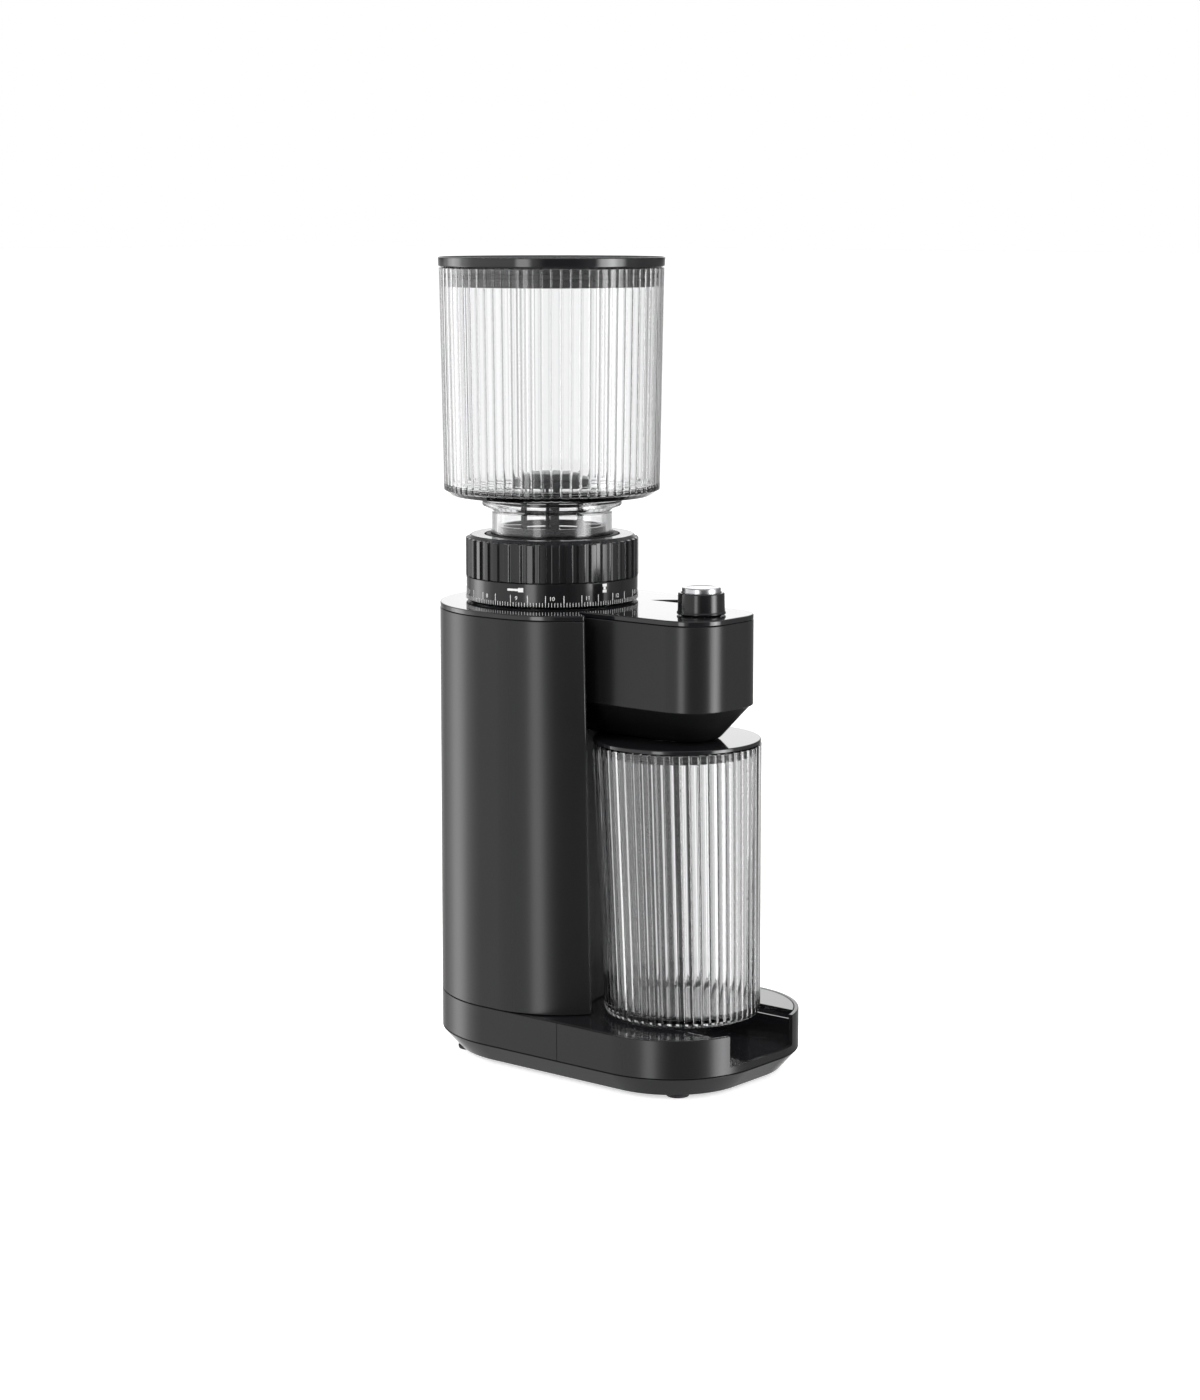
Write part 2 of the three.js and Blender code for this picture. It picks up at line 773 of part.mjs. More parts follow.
const knobBottom = plateTop + knobLift;
const knobTop = knobBottom + knobHeight;
const buttonTop = knobTop + buttonProud;
const buttonBottom = buttonTop - buttonHeight;
const wellBottom = buttonBottom - buttonTravel - gap;
const shaftTop = wellBottom - 2;

function controlKnob() {
  const floor = wellBottom - knobWellSkin;
  const hub = encoderShaftRadius + 2.5;
  const body = turned([
    [0, knobBottom], [knobRadius, knobBottom], [knobRadius, knobBottom + 0.8],
    [knobRadius - 0.4, knobBottom + 1.6], [knobTopRadius, knobTop - 0.5], [knobTopRadius - 0.5, knobTop],
    [0, knobTop],
  ], plain);
  return cut(
    body,
    disc(buttonRadius + gap, wellBottom, knobTop + 1, plain),
    tube(hub, knobTopRadius - knobWall, knobBottom - 1, floor - gap, plain),
    disc(encoderShaftRadius + gap, knobBottom - 1, wellBottom + 1, coarse),
  );
}

const buttonCeiling = buttonTop - buttonSkin;

/** Hollow cap with a stem that reaches down to the encoder's shaft. */
function knobButton() {
  const stemEnd = shaftTop + buttonTravel + gap;
  const hollow = springRadius + 2 * springWire;
  return turned([
    [0, stemEnd], [buttonStemRadius, stemEnd], [buttonStemRadius, buttonCeiling],
    [hollow, buttonCeiling], [hollow, buttonBottom],
    [buttonRadius, buttonBottom], [buttonRadius, buttonTop - 0.6], [buttonRadius - 0.6, buttonTop],
    [0, buttonTop],
  ], plain);
}

/** Small coil spring that stands in the knob's well and pushes the button up. */
function buttonSpring() {
  const low = wellBottom + gap / 2 + springWire / 2;
  const high = buttonCeiling - gap / 2 - springWire / 2;
  const helix = new THREE.Curve();
  helix.getPoint = (t) => {
    const turn = 2 * Math.PI * springTurns * t;
    const height = low + (high - low) * t;
    return new THREE.Vector3(springRadius * Math.cos(turn), springRadius * Math.sin(turn), height);
  };
  const wire = new THREE.Shape(arcPoints(0, 0, springWire / 2, 0, (5 / 3) * Math.PI, 5));
  const steps = Math.round(12 * springTurns);
  return weld(new THREE.ExtrudeGeometry(wire, { steps, extrudePath: helix, bevelEnabled: false }));
}

function controlBoard() {
  const board = centred(boardHalfWidth, boardFront, boardBack, boardTop - boardThickness, boardTop);
  return cut(board, atKnob(disc(encoderShaftRadius + gap, boardTop - 3, boardTop + 1, coarse)));
}

piece('control_board', controlBoard(), boardGreen);
piece('encoder_body', atKnob(tube(encoderShaftRadius + gap, encoderRadius, boardTop + gap,
  plateBottom - gap, coarse)), blackPlastic);
piece('encoder_shaft', atKnob(disc(encoderShaftRadius, boardTop + gap, shaftTop, coarse)), steel);
piece('control_knob', atKnob(controlKnob()), blackPlastic);
piece('knob_button', atKnob(knobButton()), silver);
piece('button_spring', atKnob(buttonSpring()), steel);

// ---- Motor and gears ---------------------------------------------------------------------------

/** Points of one involute tooth flank, from its root to its tip, as [radius, angle]. */
function flank(teeth, root, tip) {
  const pitch = (gearModule * teeth) / 2;
  const base = pitch * Math.cos(Math.PI / 9);
  const involute = (radius) => {
    const angle = Math.acos(Math.min(base / Math.max(radius, base), 1));
    return Math.tan(angle) - angle;
  };
  const play = 0.16 / pitch; // backlash, so that teeth keep clear of each other
  const half = Math.PI / (2 * teeth) - play + involute(pitch);
  return [root, pitch, tip].map((radius) => {
    return [radius, half - involute(radius)];
  });
}

/** Plan of a spur gear, a tooth centred on the +X axis when `phase` is 0. */
function gearPlan(teeth, phase) {
  const pitch = (gearModule * teeth) / 2;
  const side = flank(teeth, pitch - 1.15 * gearModule, pitch + 0.85 * gearModule);
  const points = Array.from({ length: teeth }, (_, i) => {
    const middle = ((i + phase) * 2 * Math.PI) / teeth;
    const rising = side.map(([radius, angle]) => [radius, middle - angle]);
    const falling = side.map(([radius, angle]) => [radius, middle + angle]).reverse();
    return [...rising, ...falling];
  });
  return distinct(points.flat().map(([radius, angle]) => {
    return new THREE.Vector2(radius * Math.cos(angle), radius * Math.sin(angle));
  }));
}

const gearBottom = gearboxSplit - gap - gearThickness;
const lowerBearingBottom = gearboxBottom + gearboxWall + gap;
const upperBearingBottom = gearboxSplit + gap + 1;
const gearboxPlan = {
  half: gearboxHalfWidth, back: motorY + gearboxMotorReach, front: hopperY - gearboxHalfWidth,
  backRadius: gearboxCorner, frontRadius: gearboxHalfWidth,
};

function driveGear() {
  // A tooth points at the pinion (+Y), so the pinion needs a space there.
  const plan = gearPlan(driveTeeth, driveTeeth / 4);
  const body = prism(plan, gearBottom, gearBottom + gearThickness);
  return cut(body, disc(spindleRadius + gap, gearBottom - 1, gearBottom + gearThickness + 1, coarse));
}

function pinion() {
  const plan = gearPlan(pinionTeeth, 0.5 - pinionTeeth / 4);
  const bottom = gearBottom - (pinionThickness - gearThickness) / 2;
  return cut(
    prism(plan, bottom, bottom + pinionThickness - gap),
    disc(motorShaftRadius + gap, bottom - 1, bottom + pinionThickness + 1, 12),
  );
}

/** Lower half of the gearbox: a cup with a seat for the lower bearing and a hole for the motor. */
function gearboxBase() {
  const seatTop = lowerBearingBottom + bearingWidth;
  const body = join(
    cut(
      prism(roundedPlan(gearboxPlan, 0, 5), gearboxBottom, gearboxSplit - gap),
      prism(roundedPlan(gearboxPlan, gearboxWall, 5), gearboxBottom + gearboxWall, gearboxSplit + 1),
    ),
    atHopper(disc(bearingRadius + gap + gearboxWall, gearboxBottom, seatTop, 24)),
  );
  return cut(
    body,
    atHopper(disc(bearingRadius + gap, gearboxBottom + gearboxWall, seatTop + 1, 24)),
    atMotor(disc(motorShaftRadius + 3, gearboxBottom - 1, gearboxBottom + gearboxWall + 1, coarse)),
  );
}

/** Upper half of the gearbox, with a seat for the upper bearing. */
function gearboxCover() {
  const body = prism(roundedPlan(gearboxPlan, 0, 5), gearboxSplit, gearboxTop);
  return cut(
    body,
    atHopper(disc(bearingRadius + gap, upperBearingBottom - gap, gearboxTop + 1, 24)),
    atHopper(disc(spindleRadius + 1, gearboxSplit - 1, gearboxTop + 1, coarse)),
    atMotor(disc(motorShaftRadius + 6, gearboxSplit - 1, gearboxSplit + gearboxCoverThickness - 2, coarse)),
  );
}

function bearing(bottom) {
  return tube(spindleRadius + gap, bearingRadius, bottom, bottom + bearingWidth, 24);
}

/** Steel plate across the column that carries the gearbox and the grinding chamber. */
function chassisPlate() {
  return cut(
    columnBlock(housingWall + gap, chassisTop - chassisThickness, chassisTop),
    atHopper(disc(bearingRadius + 2, chassisTop - 5, chassisTop + 1, 24)),
    at(-wireWayReach, hopperY, disc(wireWayRadius, chassisTop - 5, chassisTop + 1, coarse)),
  );
}

/** Shelf across the column that the motor stands on. */
function motorShelf() {
  return cut(
    columnBlock(housingWall + gap, motorBottom - gap - chassisThickness, motorBottom - gap),
    atMotor(disc(fanRadius + 1.5, motorBottom - 5, motorBottom + 1, 24)),
    at(-wireWayReach, hopperY, disc(wireWayRadius, motorBottom - 5, motorBottom + 1, coarse)),
  );
}

/** Motor can, open at the top, with a bearing hole and air slots in its floor. */
function motorCan() {
  const slot = block(motorSlotStart, motorSlotEnd, -motorSlotHalfWidth, motorSlotHalfWidth,
    motorBottom - 1, motorBottom + motorFloor + 1);
  return cut(
    disc(motorRadius, motorBottom, motorTop - endBellSeat, plain),
    disc(motorRadius - motorWall, motorBottom + motorFloor, motorTop, plain),
    disc(motorShaftRadius + gap, motorBottom - 1, motorBottom + motorFloor + 1, 12),
    ...around(4, slot),
  );
}

/** Lid of the motor can, with a bearing boss for the shaft. */
function motorEndBell() {
  return cut(
    join(
      disc(motorRadius, motorTop - endBellSeat + gap, motorTop, plain),
      disc(endBellBossRadius, motorTop - endBellBossDepth, motorTop, coarse),
    ),
    disc(motorShaftRadius + gap, motorTop - endBellBossDepth - 1, motorTop + 1, 12),
  );
}

/** One of the two curved magnets inside the can. */
function magnet(side) {
  const outer = motorRadius - motorWall - gap;
  const inner = outer - magnetThickness;
  const spread = Math.PI / 3.2;
  const plan = [
    ...arcPoints(0, 0, outer, -spread, spread, 10),
    ...arcPoints(0, 0, inner, spread, -spread, 10),
  ];
  return prism(plan, magnetBottom, magnetBottom + magnetLength).rotateZ(side);
}

function armature() {
  const core = prism(flutedPlan(armatureRadius, 2.4, 12), armatureBottom, armatureBottom + armatureLength);
  const commutator = disc(commutatorRadius, armatureBottom - commutatorLength, armatureBottom + 1, coarse);
  return cut(join(core, commutator), disc(motorShaftRadius + gap, 0, motorTop, 12));
}

/** Cooling fan on the lower end of the motor shaft. */
function motorFan() {
  const top = motorBottom - gap;
  const half = fanBladeThickness / 2;
  const hub = tube(motorShaftRadius + gap, fanHubRadius, top - fanHeight, top, 12);
  const blade = block(fanHubRadius - 1, fanRadius - 0.5, -half, half, top - fanHeight, top - 2);
  const web = tube(fanHubRadius - 1, fanRadius, top - 2, top - 0.5, 24);
  return join(hub, web, ...around(fanBlades, blade));
}

const shaftBottom = motorBottom - fanHeight - 2;

piece('chassis_plate', chassisPlate(), steel);
piece('motor_shelf', motorShelf(), steel);
piece('gearbox_base', gearboxBase(), castAlloy);
piece('gearbox_cover', gearboxCover(), castAlloy);
piece('lower_bearing', atHopper(bearing(lowerBearingBottom)), steel);
piece('upper_bearing', atHopper(bearing(upperBearingBottom)), steel);
piece('motor_can', atMotor(motorCan()), steel);
piece('motor_end_bell', atMotor(motorEndBell()), blackPlastic);
piece('motor_magnet_right', atMotor(magnet(0)), magnetGrey);
piece('motor_magnet_left', atMotor(magnet(Math.PI)), magnetGrey);
piece('motor_shaft', atMotor(disc(motorShaftRadius, shaftBottom, gearBottom + gearThickness, 12)), steel);
piece('motor_armature', atMotor(armature()), copper);
piece('motor_fan', atMotor(motorFan()), blackPlastic);
piece('motor_pinion', atMotor(pinion()), steel);
piece('drive_gear', atHopper(driveGear()), nylon);

// ---- Grinding chamber and burrs ----------------------------------------------------------------

const sweeperBottom = chamberBottom + chamberFloor + 1;
const coneBottom = sweeperBottom + sweeperHeight + gap;
const coneTop = coneBottom + coneBurrHeight;
const carrierBottom = chamberTop + carrierTravel + 1;
const outerBurrBottom = chamberTop - burrDrop;
const outerBurrTop = outerBurrBottom + outerBurrHeight;
const carrierTop = socketTop - socketHeight - gap;

/** Cup round the lower burr, with a side exit for the grounds. */
function grindingChamber() {
  const body = cut(
    disc(chamberRadius, chamberBottom, chamberTop),
    disc(chamberRadius - chamberWall, chamberBottom + chamberFloor, chamberTop + 1),
    disc(spindleRadius + 1, chamberBottom - 1, chamberTop, coarse),
  );
  const floor = chamberBottom + chamberFloor;
  const exit = centred(exitWidth / 2, -chamberRadius - 1, 0, floor, floor + exitHeight);
  return cut(body, exit);
}

/** Disc with four vanes that sweeps the grounds to the exit. */
function sweeper() {
  const top = sweeperBottom + sweeperHeight;
  const plate = tube(spindleRadius + gap, sweeperPlateRadius, sweeperBottom, top, 24);
  const half = sweeperVaneHalfWidth;
  const vane = block(sweeperPlateRadius - 2, sweeperRadius, -half, half, sweeperBottom, top);
  return join(plate, ...around(4, vane));
}

/** Burr that turns: a cone with spiral ridges. */
function coneBurr() {
  const ridges = flutedPlan(1, 0.09, coneBurrTeeth);
  const twist = Math.PI / 7;
  const body = reshape(prism(ridges, coneBottom, coneTop), (x, y, z) => {
    const up = (z - coneBottom) / coneBurrHeight;
    const radius = coneBurrRadius + (coneBurrTop - coneBurrRadius) * up;
    const [c, s] = [Math.cos(twist * up), Math.sin(twist * up)];
    return [radius * (x * c - y * s), radius * (x * s + y * c), z];
  });
  return cut(body, disc(spindleRadius + gap, coneBottom - 1, coneTop + 1, coarse));
}

/** Burr that stands still in the carrier: a ring whose bore narrows upwards and is cut with teeth. */
function outerBurr() {
  const bore = reshape(
    prism(flutedPlan(1, 0.06, outerBurrTeeth), outerBurrBottom - 1, outerBurrTop + 1),
    (x, y, z) => {
      const up = (z - outerBurrBottom) / outerBurrHeight;
      const radius = outerBurrMouth + (outerBurrBore - outerBurrMouth) * up;
      return [radius * x, radius * y, z];
    },
  );
  return cut(disc(outerBurrRadius, outerBurrBottom, outerBurrTop, 48), bore);
}

/** Threaded carrier that holds the outer burr in the chamber and rises or sinks as the ring turns. */
function burrCarrier() {
  const seat = outerBurrTop + gap;
  return turned([
    [outerBurrRadius + gap, outerBurrBottom], [carrierSkirtRadius, outerBurrBottom],
    [carrierSkirtRadius, carrierBottom], [carrierRadius, carrierBottom], [carrierRadius, carrierTop],
    [neckRadius + gap, carrierTop], [neckRadius + gap, neckBottom - gap],
    [neckBore - 1, neckBottom - gap], [outerBurrBore + 2, seat + 1.5],
    [outerBurrBore + 2, seat], [outerBurrRadius + gap, seat],
  ], plain);
}

/** Dark ring on the carrier that the hopper's neck plugs into. */
function hopperSocket() {
  const bottom = carrierTop + gap;
  return turned([
    [neckRadius + gap, bottom], [socketRadius, bottom], [socketRadius, socketTop - 0.6],
    [socketRadius - 0.6, socketTop], [neckRadius + gap, socketTop],
  ]);
}

const coneGapTop = coneTop + gap;

/** Screw with a washer face that holds the cone burr on its spindle. */
function burrScrew() {
  return turned([
    [0, coneGapTop], [spindleRadius + 3, coneGapTop], [spindleRadius + 3, coneGapTop + burrScrewWasher],
    [spindleRadius + 1, coneGapTop + burrScrewHeight], [0, coneGapTop + burrScrewHeight],
  ], coarse);
}

piece('grinding_chamber', atHopper(grindingChamber()), castAlloy);
piece('burr_spindle', atHopper(disc(spindleRadius, lowerBearingBottom, coneTop, coarse)), steel);
piece('sweeper', atHopper(sweeper()), blackPlastic);
piece('cone_burr', atHopper(coneBurr()), steel);
piece('burr_screw', atHopper(burrScrew()), steel);
piece('outer_burr', atHopper(outerBurr()), steel);
piece('burr_carrier', atHopper(burrCarrier()), blackPlastic);
piece('hopper_socket', atHopper(hopperSocket()), blackPlastic);

// ---- Adjustment ring ---------------------------------------------------------------------------

const scaleBottom = plateTop + ringLift;
const scaleTop = scaleBottom + scaleHeight;

/** Ribbed grip with a plain sleeve inside the scale. */
function adjustmentRing() {
  const gripBottom = scaleTop + gap;
  const gripTop = ringTop - ringTopChamfer;
  const valley = ringRadius - ringRibDepth;
  const sleeve = tube(ringSleeveInner, ringRadius - scaleWall - gap, plateTop + gap, ringTop - 1);
  const grip = prism(flutedPlan(ringRadius, ringRibDepth, ringRibs), gripBottom, gripTop);
  const collar = turned([
    [socketRadius + 2 * gap, ringTop - 2], [ringSleeveInner + 1, ringTop - 2], [valley, gripTop - 1],
    [valley, gripTop], [valley - ringTopChamfer, ringTop], [socketRadius + 2 * gap, ringTop],
  ]);
  const hollow = disc(ringSleeveInner, plateTop, ringTop + 1);
  return join(cut(grip, hollow), sleeve, collar);
}

piece('adjustment_ring', atHopper(adjustmentRing()), ribbed);
piece('dial_scale', atHopper(tube(ringRadius - scaleWall, ringRadius - 0.2, scaleBottom, scaleTop)),
  gloss);

// ---- Hopper ------------------------------------------------------------------------------------

/** Clear fluted cup on a stepped neck. */
function hopperBody() {
  const spread = (z) => {
    const up = (z - hopperWallBottom) / hopperWallHeight;
    return (hopperBottomRadius + (hopperTopRadius - hopperBottomRadius) * up) / hopperBottomRadius;
  };
  const flare = (geometry) => reshape(geometry, (x, y, z) => [x * spread(z), y * spread(z), z]);
  const wallInner = hopperBottomRadius - fluteDepth - hopperWall;
  const start = hopperWallBottom - 1;
  const wall = cut(
    flare(prism(flutedPlan(hopperBottomRadius, fluteDepth, hopperFlutes), start, hopperTop)),
    flare(disc(wallInner, start - 1, hopperTop + 1)),
  );
  const foot = turned([
    [neckBore, neckBottom], [neckRadius, neckBottom], [neckRadius, flangeBottom - 2],
    [flangeRadius, flangeBottom + 1], [flangeRadius, flangeTop], [flangeRadius + 3, flangeTop + 1],
    [hopperBottomRadius - 3, hopperWallBottom - 3], [hopperBottomRadius - 1.2, hopperWallBottom],
    [wallInner, hopperWallBottom + 1], [wallInner - 4, hopperWallBottom - 3 + hopperSkin],
    [neckBore + 4, flangeTop + 1 + hopperSkin], [neckBore, flangeTop - 2],
  ]);
  return join(wall, foot);
}

/** Domed finger guard on four legs over the hopper's mouth. */
function hopperGuard() {
  const bottom = neckBottom + guardSetback;
  const top = bottom + guardHeight;
  const skirt = top - guardDomeHeight;
  const dome = turned([
    [0, top - guardThickness], [guardRadius * 0.6, top - 1.5 - guardThickness],
    [guardRadius - guardWall, skirt + 3], [guardRadius - guardWall, skirt], [guardRadius, skirt],
    [guardRadius, skirt + 3.5], [guardRadius * 0.62, top - 1.3], [0, top],
  ], 24);
  const [legInner, legOuter] = [guardLegReach - guardWall, guardLegReach + guardWall];
  const half = guardLegWidth / 2;
  const legBox = block(legInner, legOuter, -half, half, bottom, top - guardThickness - 2);
  const footBar = block(legInner, neckBore - guardWall, -half, half, bottom, bottom + guardFootHeight);
  const ring = tube(neckBore - 3, neckBore - gap, bottom, bottom + guardFootHeight, plain);
  const turn = Math.PI / guardLegs;
  return join(dome, ring, ...around(guardLegs, legBox, turn), ...around(guardLegs, footBar, turn));
}

const plugOuter = hopperTopRadius - fluteDepth - hopperWall - lidFit - 0.2;
const grooveBottom = lidBottom - lidPlugDepth * 0.6;

/** Lid: a thin disc with a rounded edge over a plug ring that has a groove for its seal. */
function hopperLid() {
  const e = lidEdgeRadius;
  const edge = arcPoints(lidRadius - e, lidTop - e, e, 0, Math.PI / 2, 2).map(({ x, y }) => [x, y]);
  const inner = plugOuter - lidPlugWall - gasketDepth;
  const deep = lidBottom - lidPlugDepth;
  const groove = plugOuter - gasketDepth;
  return turned([
    [0, lidTop - 2.5], [inner, lidTop - 2.5], [inner, deep], [plugOuter, deep],
    [plugOuter, grooveBottom], [groove, grooveBottom], [groove, grooveBottom + gasketHeight + 2 * gap],
    [plugOuter, grooveBottom + gasketHeight + 2 * gap], [plugOuter, lidBottom],
    [lidRadius, lidBottom], ...edge, [0, lidTop],
  ]);
}

piece('hopper_body', atHopper(hopperBody()), clear);
piece('hopper_guard', atHopper(hopperGuard()), blackPlastic);
piece('hopper_lid', atHopper(hopperLid()), gloss);
piece('hopper_lid_seal', atHopper(tube(plugOuter - gasketDepth + gap, plugOuter + lidFit * 0.4,
  grooveBottom + gap, grooveBottom + gap + gasketHeight)), rubber);

// ---- Grounds container -------------------------------------------------------------------------

/** Clear fluted cup that leans like the recess behind it. */
function containerBody() {
  const widen = (geometry, offset) => reshape(geometry, (x, y, z) => {
    const radius = containerRadius(z) + offset;
    return [x * radius, y * radius, z];
  });
  const depth = fluteDepth / containerTopRadius;
  const outside = widen(prism(flutedPlan(1, depth, containerFlutes), containerBottom, containerTop), 0);
  const inside = widen(
    disc(1, containerBottom + containerFloor, containerTop + 1), -fluteDepth - containerWall,
  );
  return lean(cut(outside, inside));
}

const containerInner = containerTopRadius - fluteDepth - containerWall;
const containerPlug = containerInner - containerLidFit;
const containerSealBottom = containerLidBottom - containerLidPlug + containerPlugFoot + gap;

/** Lid of the container, with a hole under the spout and a groove for its seal. */
function containerLid() {
  const deep = containerLidBottom - containerLidPlug;
  const groove = containerPlug - gasketDepth;
  const inner = containerPlug - containerPlugWall;
  const edge = containerTopRadius - gap;
  const sealTop = containerSealBottom + containerSealHeight + gap;
  return turned([
    [containerLidHole, containerLidBottom], [inner, containerLidBottom],
    [inner, deep], [containerPlug, deep], [containerPlug, containerSealBottom - gap],
    [groove, containerSealBottom - gap], [groove, sealTop], [containerPlug, sealTop],
    [containerPlug, containerLidBottom], [edge, containerLidBottom],
    [edge, containerLidTop], [containerLidHole, containerLidTop],
  ]);
}

piece('container_body', containerBody(), clear);
piece('container_lid', atSpout(containerLid()), gloss);
piece('container_lid_seal', atSpout(tube(containerPlug - gasketDepth + gap,
  containerPlug + containerLidFit / 2, containerSealBottom, containerSealBottom + containerSealHeight)),
  rubber);

// ---- Power board -------------------------------------------------------------------------------

/** Board on four standoffs of the deck, with a transformer block on it. */
function powerBoard() {
  const bottom = deckTop + powerBoardLift;
  const [w, l] = [powerBoardWidth / 2, powerBoardLength / 2];
  return join(
    block(-w, w, -l, l, bottom, bottom + boardThickness),
    block(-transformerSize / 2, transformerSize / 2, -transformerSize / 2, transformerSize / 2,
      bottom + boardThickness - 0.2, bottom + transformerHeight),
  );
}

piece('power_board', atHopper(powerBoard()), boardGreen);

export default grinder;
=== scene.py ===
"""Studio model of a burr coffee grinder: smooth shells, clear reeded vessels and their finishes.

Sizes are in millimetres until a mesh is made, and places come from the frame's own boxes.
+Z is up, the spout side faces -Y.
"""

import logging
import math
from dataclasses import dataclass
from enum import Enum
from functools import cache
from typing import Callable, Optional, Sequence

import bmesh
import bpy
import numpy as np
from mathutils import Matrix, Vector


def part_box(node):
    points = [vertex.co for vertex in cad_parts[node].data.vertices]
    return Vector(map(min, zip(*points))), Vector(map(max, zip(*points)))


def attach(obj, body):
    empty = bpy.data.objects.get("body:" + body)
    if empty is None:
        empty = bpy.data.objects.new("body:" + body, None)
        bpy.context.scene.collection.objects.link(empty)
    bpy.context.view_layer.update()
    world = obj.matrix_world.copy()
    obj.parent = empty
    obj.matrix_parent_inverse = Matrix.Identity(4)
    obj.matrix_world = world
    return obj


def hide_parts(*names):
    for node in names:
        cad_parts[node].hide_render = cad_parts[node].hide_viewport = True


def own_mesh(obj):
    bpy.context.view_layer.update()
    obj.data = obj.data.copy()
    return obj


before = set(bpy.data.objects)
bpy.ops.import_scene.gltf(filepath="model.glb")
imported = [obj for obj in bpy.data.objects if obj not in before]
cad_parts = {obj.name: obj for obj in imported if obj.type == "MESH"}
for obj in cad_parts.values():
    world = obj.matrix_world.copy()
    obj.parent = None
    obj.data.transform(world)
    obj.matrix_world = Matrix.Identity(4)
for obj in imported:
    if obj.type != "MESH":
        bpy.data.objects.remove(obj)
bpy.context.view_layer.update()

LOG = logging.getLogger("grinder")
MM = 0.001
GAP = 0.3  # between pieces that seat on or in each other
CUP_FOOT = 39.4  # radius of the container's foot, which the tray and the channel go round
CUP_LEAN = 4.0  # the container's and the recess's axis stands this much further forward at the bottom
QUARTER = math.pi / 2
STRAIGHT = math.radians(88)  # half the angle from which a corner is left as it is
Array = np.ndarray
Outline = Callable[[float, float], Array]  # plan of a piece, from an inset and a height
Ripple = Callable[[Array], Array]  # depth of a surface's ripple, from the angle


# ---- Places read from the frame ------------------------------------------------------------------


@dataclass(frozen=True)
class Extent:
    """A node's box in millimetres."""

    low: Array
    high: Array

    @classmethod
    def of(cls, node: str) -> "Extent":
        """The box of a CAD node at rest."""
        low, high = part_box(node)
        return cls(np.array(low) / MM, np.array(high) / MM)

    @property
    def middle(self) -> Array:
        """The box's middle."""
        return (self.low + self.high) / 2


# ---- Curves and surfaces -------------------------------------------------------------------------


def arc(centre: Sequence[float], radius: float, start: float, end: float, steps: int) -> Array:
    """Points of a circular arc: centre + radius * (cos a, sin a), with a from start to end.

    Args:
        centre: x and y of the circle's centre.
        radius: its radius.
        start: first angle, in radians.
        end: last angle, in radians.
        steps: number of chords.

    Returns:
        An array of steps + 1 points.
    """
    angles = np.linspace(start, end, steps + 1)
    return np.column_stack([centre[0] + radius * np.cos(angles), centre[1] + radius * np.sin(angles)])


def rounded(corners: Sequence[Sequence[float]], closed: bool = True, steps: int = 4) -> Array:
    """A profile whose corners are circular arcs.

    Each arc is the rational quadratic curve from one tangent point to the other, with the corner
    as its middle point weighted by the sine of half the corner's angle, which is exactly round.

    Args:
        corners: rows of (radius from the axis, height, corner radius) or those and a ripple weight.
        closed: whether the last corner joins the first.
        steps: chords in each arc.

    Returns:
        Rows of (radius from the axis, height, ripple weight).
    """
    rows = np.array([list(c) + [0.0] * (4 - len(c)) for c in corners], float)
    places = rows[:, [0, 1, 3]]
    count = len(rows)
    t = np.linspace(0, 1, steps + 1)[:, None]
    pieces = []
    for i, corner in enumerate(places):
        at_end = not closed and i in (0, count - 1)
        to_before = places[i - 1] - corner
        to_after = places[(i + 1) % count] - corner
        before, after = np.hypot(*to_before[:2]), np.hypot(*to_after[:2])
        if at_end or rows[i, 2] <= 0 or min(before, after) < 1e-6:
            pieces.append(corner[None])
            continue
        cosine = np.dot(to_before[:2], to_after[:2]) / (before * after)
        half = math.acos(float(np.clip(cosine, -1, 1))) / 2
        if half > STRAIGHT:
            pieces.append(corner[None])
            continue
        setback = min(rows[i, 2] / math.tan(half), 0.45 * before, 0.45 * after)
        first = corner + to_before * setback / before
        last = corner + to_after * setback / after
        weight = math.sin(half)
        top = (1 - t) ** 2 * first + 2 * t * (1 - t) * weight * corner + t**2 * last
        pieces.append(top / ((1 - t) ** 2 + 2 * t * (1 - t) * weight + t**2))
    return np.vstack(pieces)


def turned(profile: Array, axis_y: Array | float, segments: int,
           ripple: Optional[Ripple] = None) -> Array:
    """Grid of a profile turned about an upright axis.

    A point is (r cos a, axis_y + r sin a, z), with r the profile's radius less its ripple weight
    times ripple(a).

    Args:
        profile: rows of (radius, height, ripple weight).
        axis_y: y of the axis, one value or one for each profile row.
        segments: columns round the axis.
        ripple: depth of the surface's ripple as a function of the angle.

    Returns:
        An array of (rows, segments, 3).
    """
    angle = np.linspace(0, 2 * math.pi, segments, endpoint=False)[None, :]
    radius = np.repeat(profile[:, :1], segments, axis=1)
    if ripple is not None:
        radius = radius - profile[:, 2:3] * ripple(angle)
    height = np.repeat(profile[:, 1:2], segments, axis=1)
    middle = np.broadcast_to(np.reshape(axis_y, (-1, 1)), radius.shape)
    return np.stack([radius * np.cos(angle), middle + radius * np.sin(angle), height], axis=2)


def direction(bearing: float, elevation: float) -> Vector:
    """The unit vector with a bearing from +X towards +Y and an elevation, both in degrees."""
    round_z, up = math.radians(bearing), math.radians(elevation)
    return Vector((math.cos(round_z) * math.cos(up), math.sin(round_z) * math.cos(up), math.sin(up)))


def mirrored(right: Array) -> Array:
    """A closed outline from its right half, whose ends lie on the middle plane."""
    return np.vstack([right, right[-2:0:-1] * (-1, 1)])


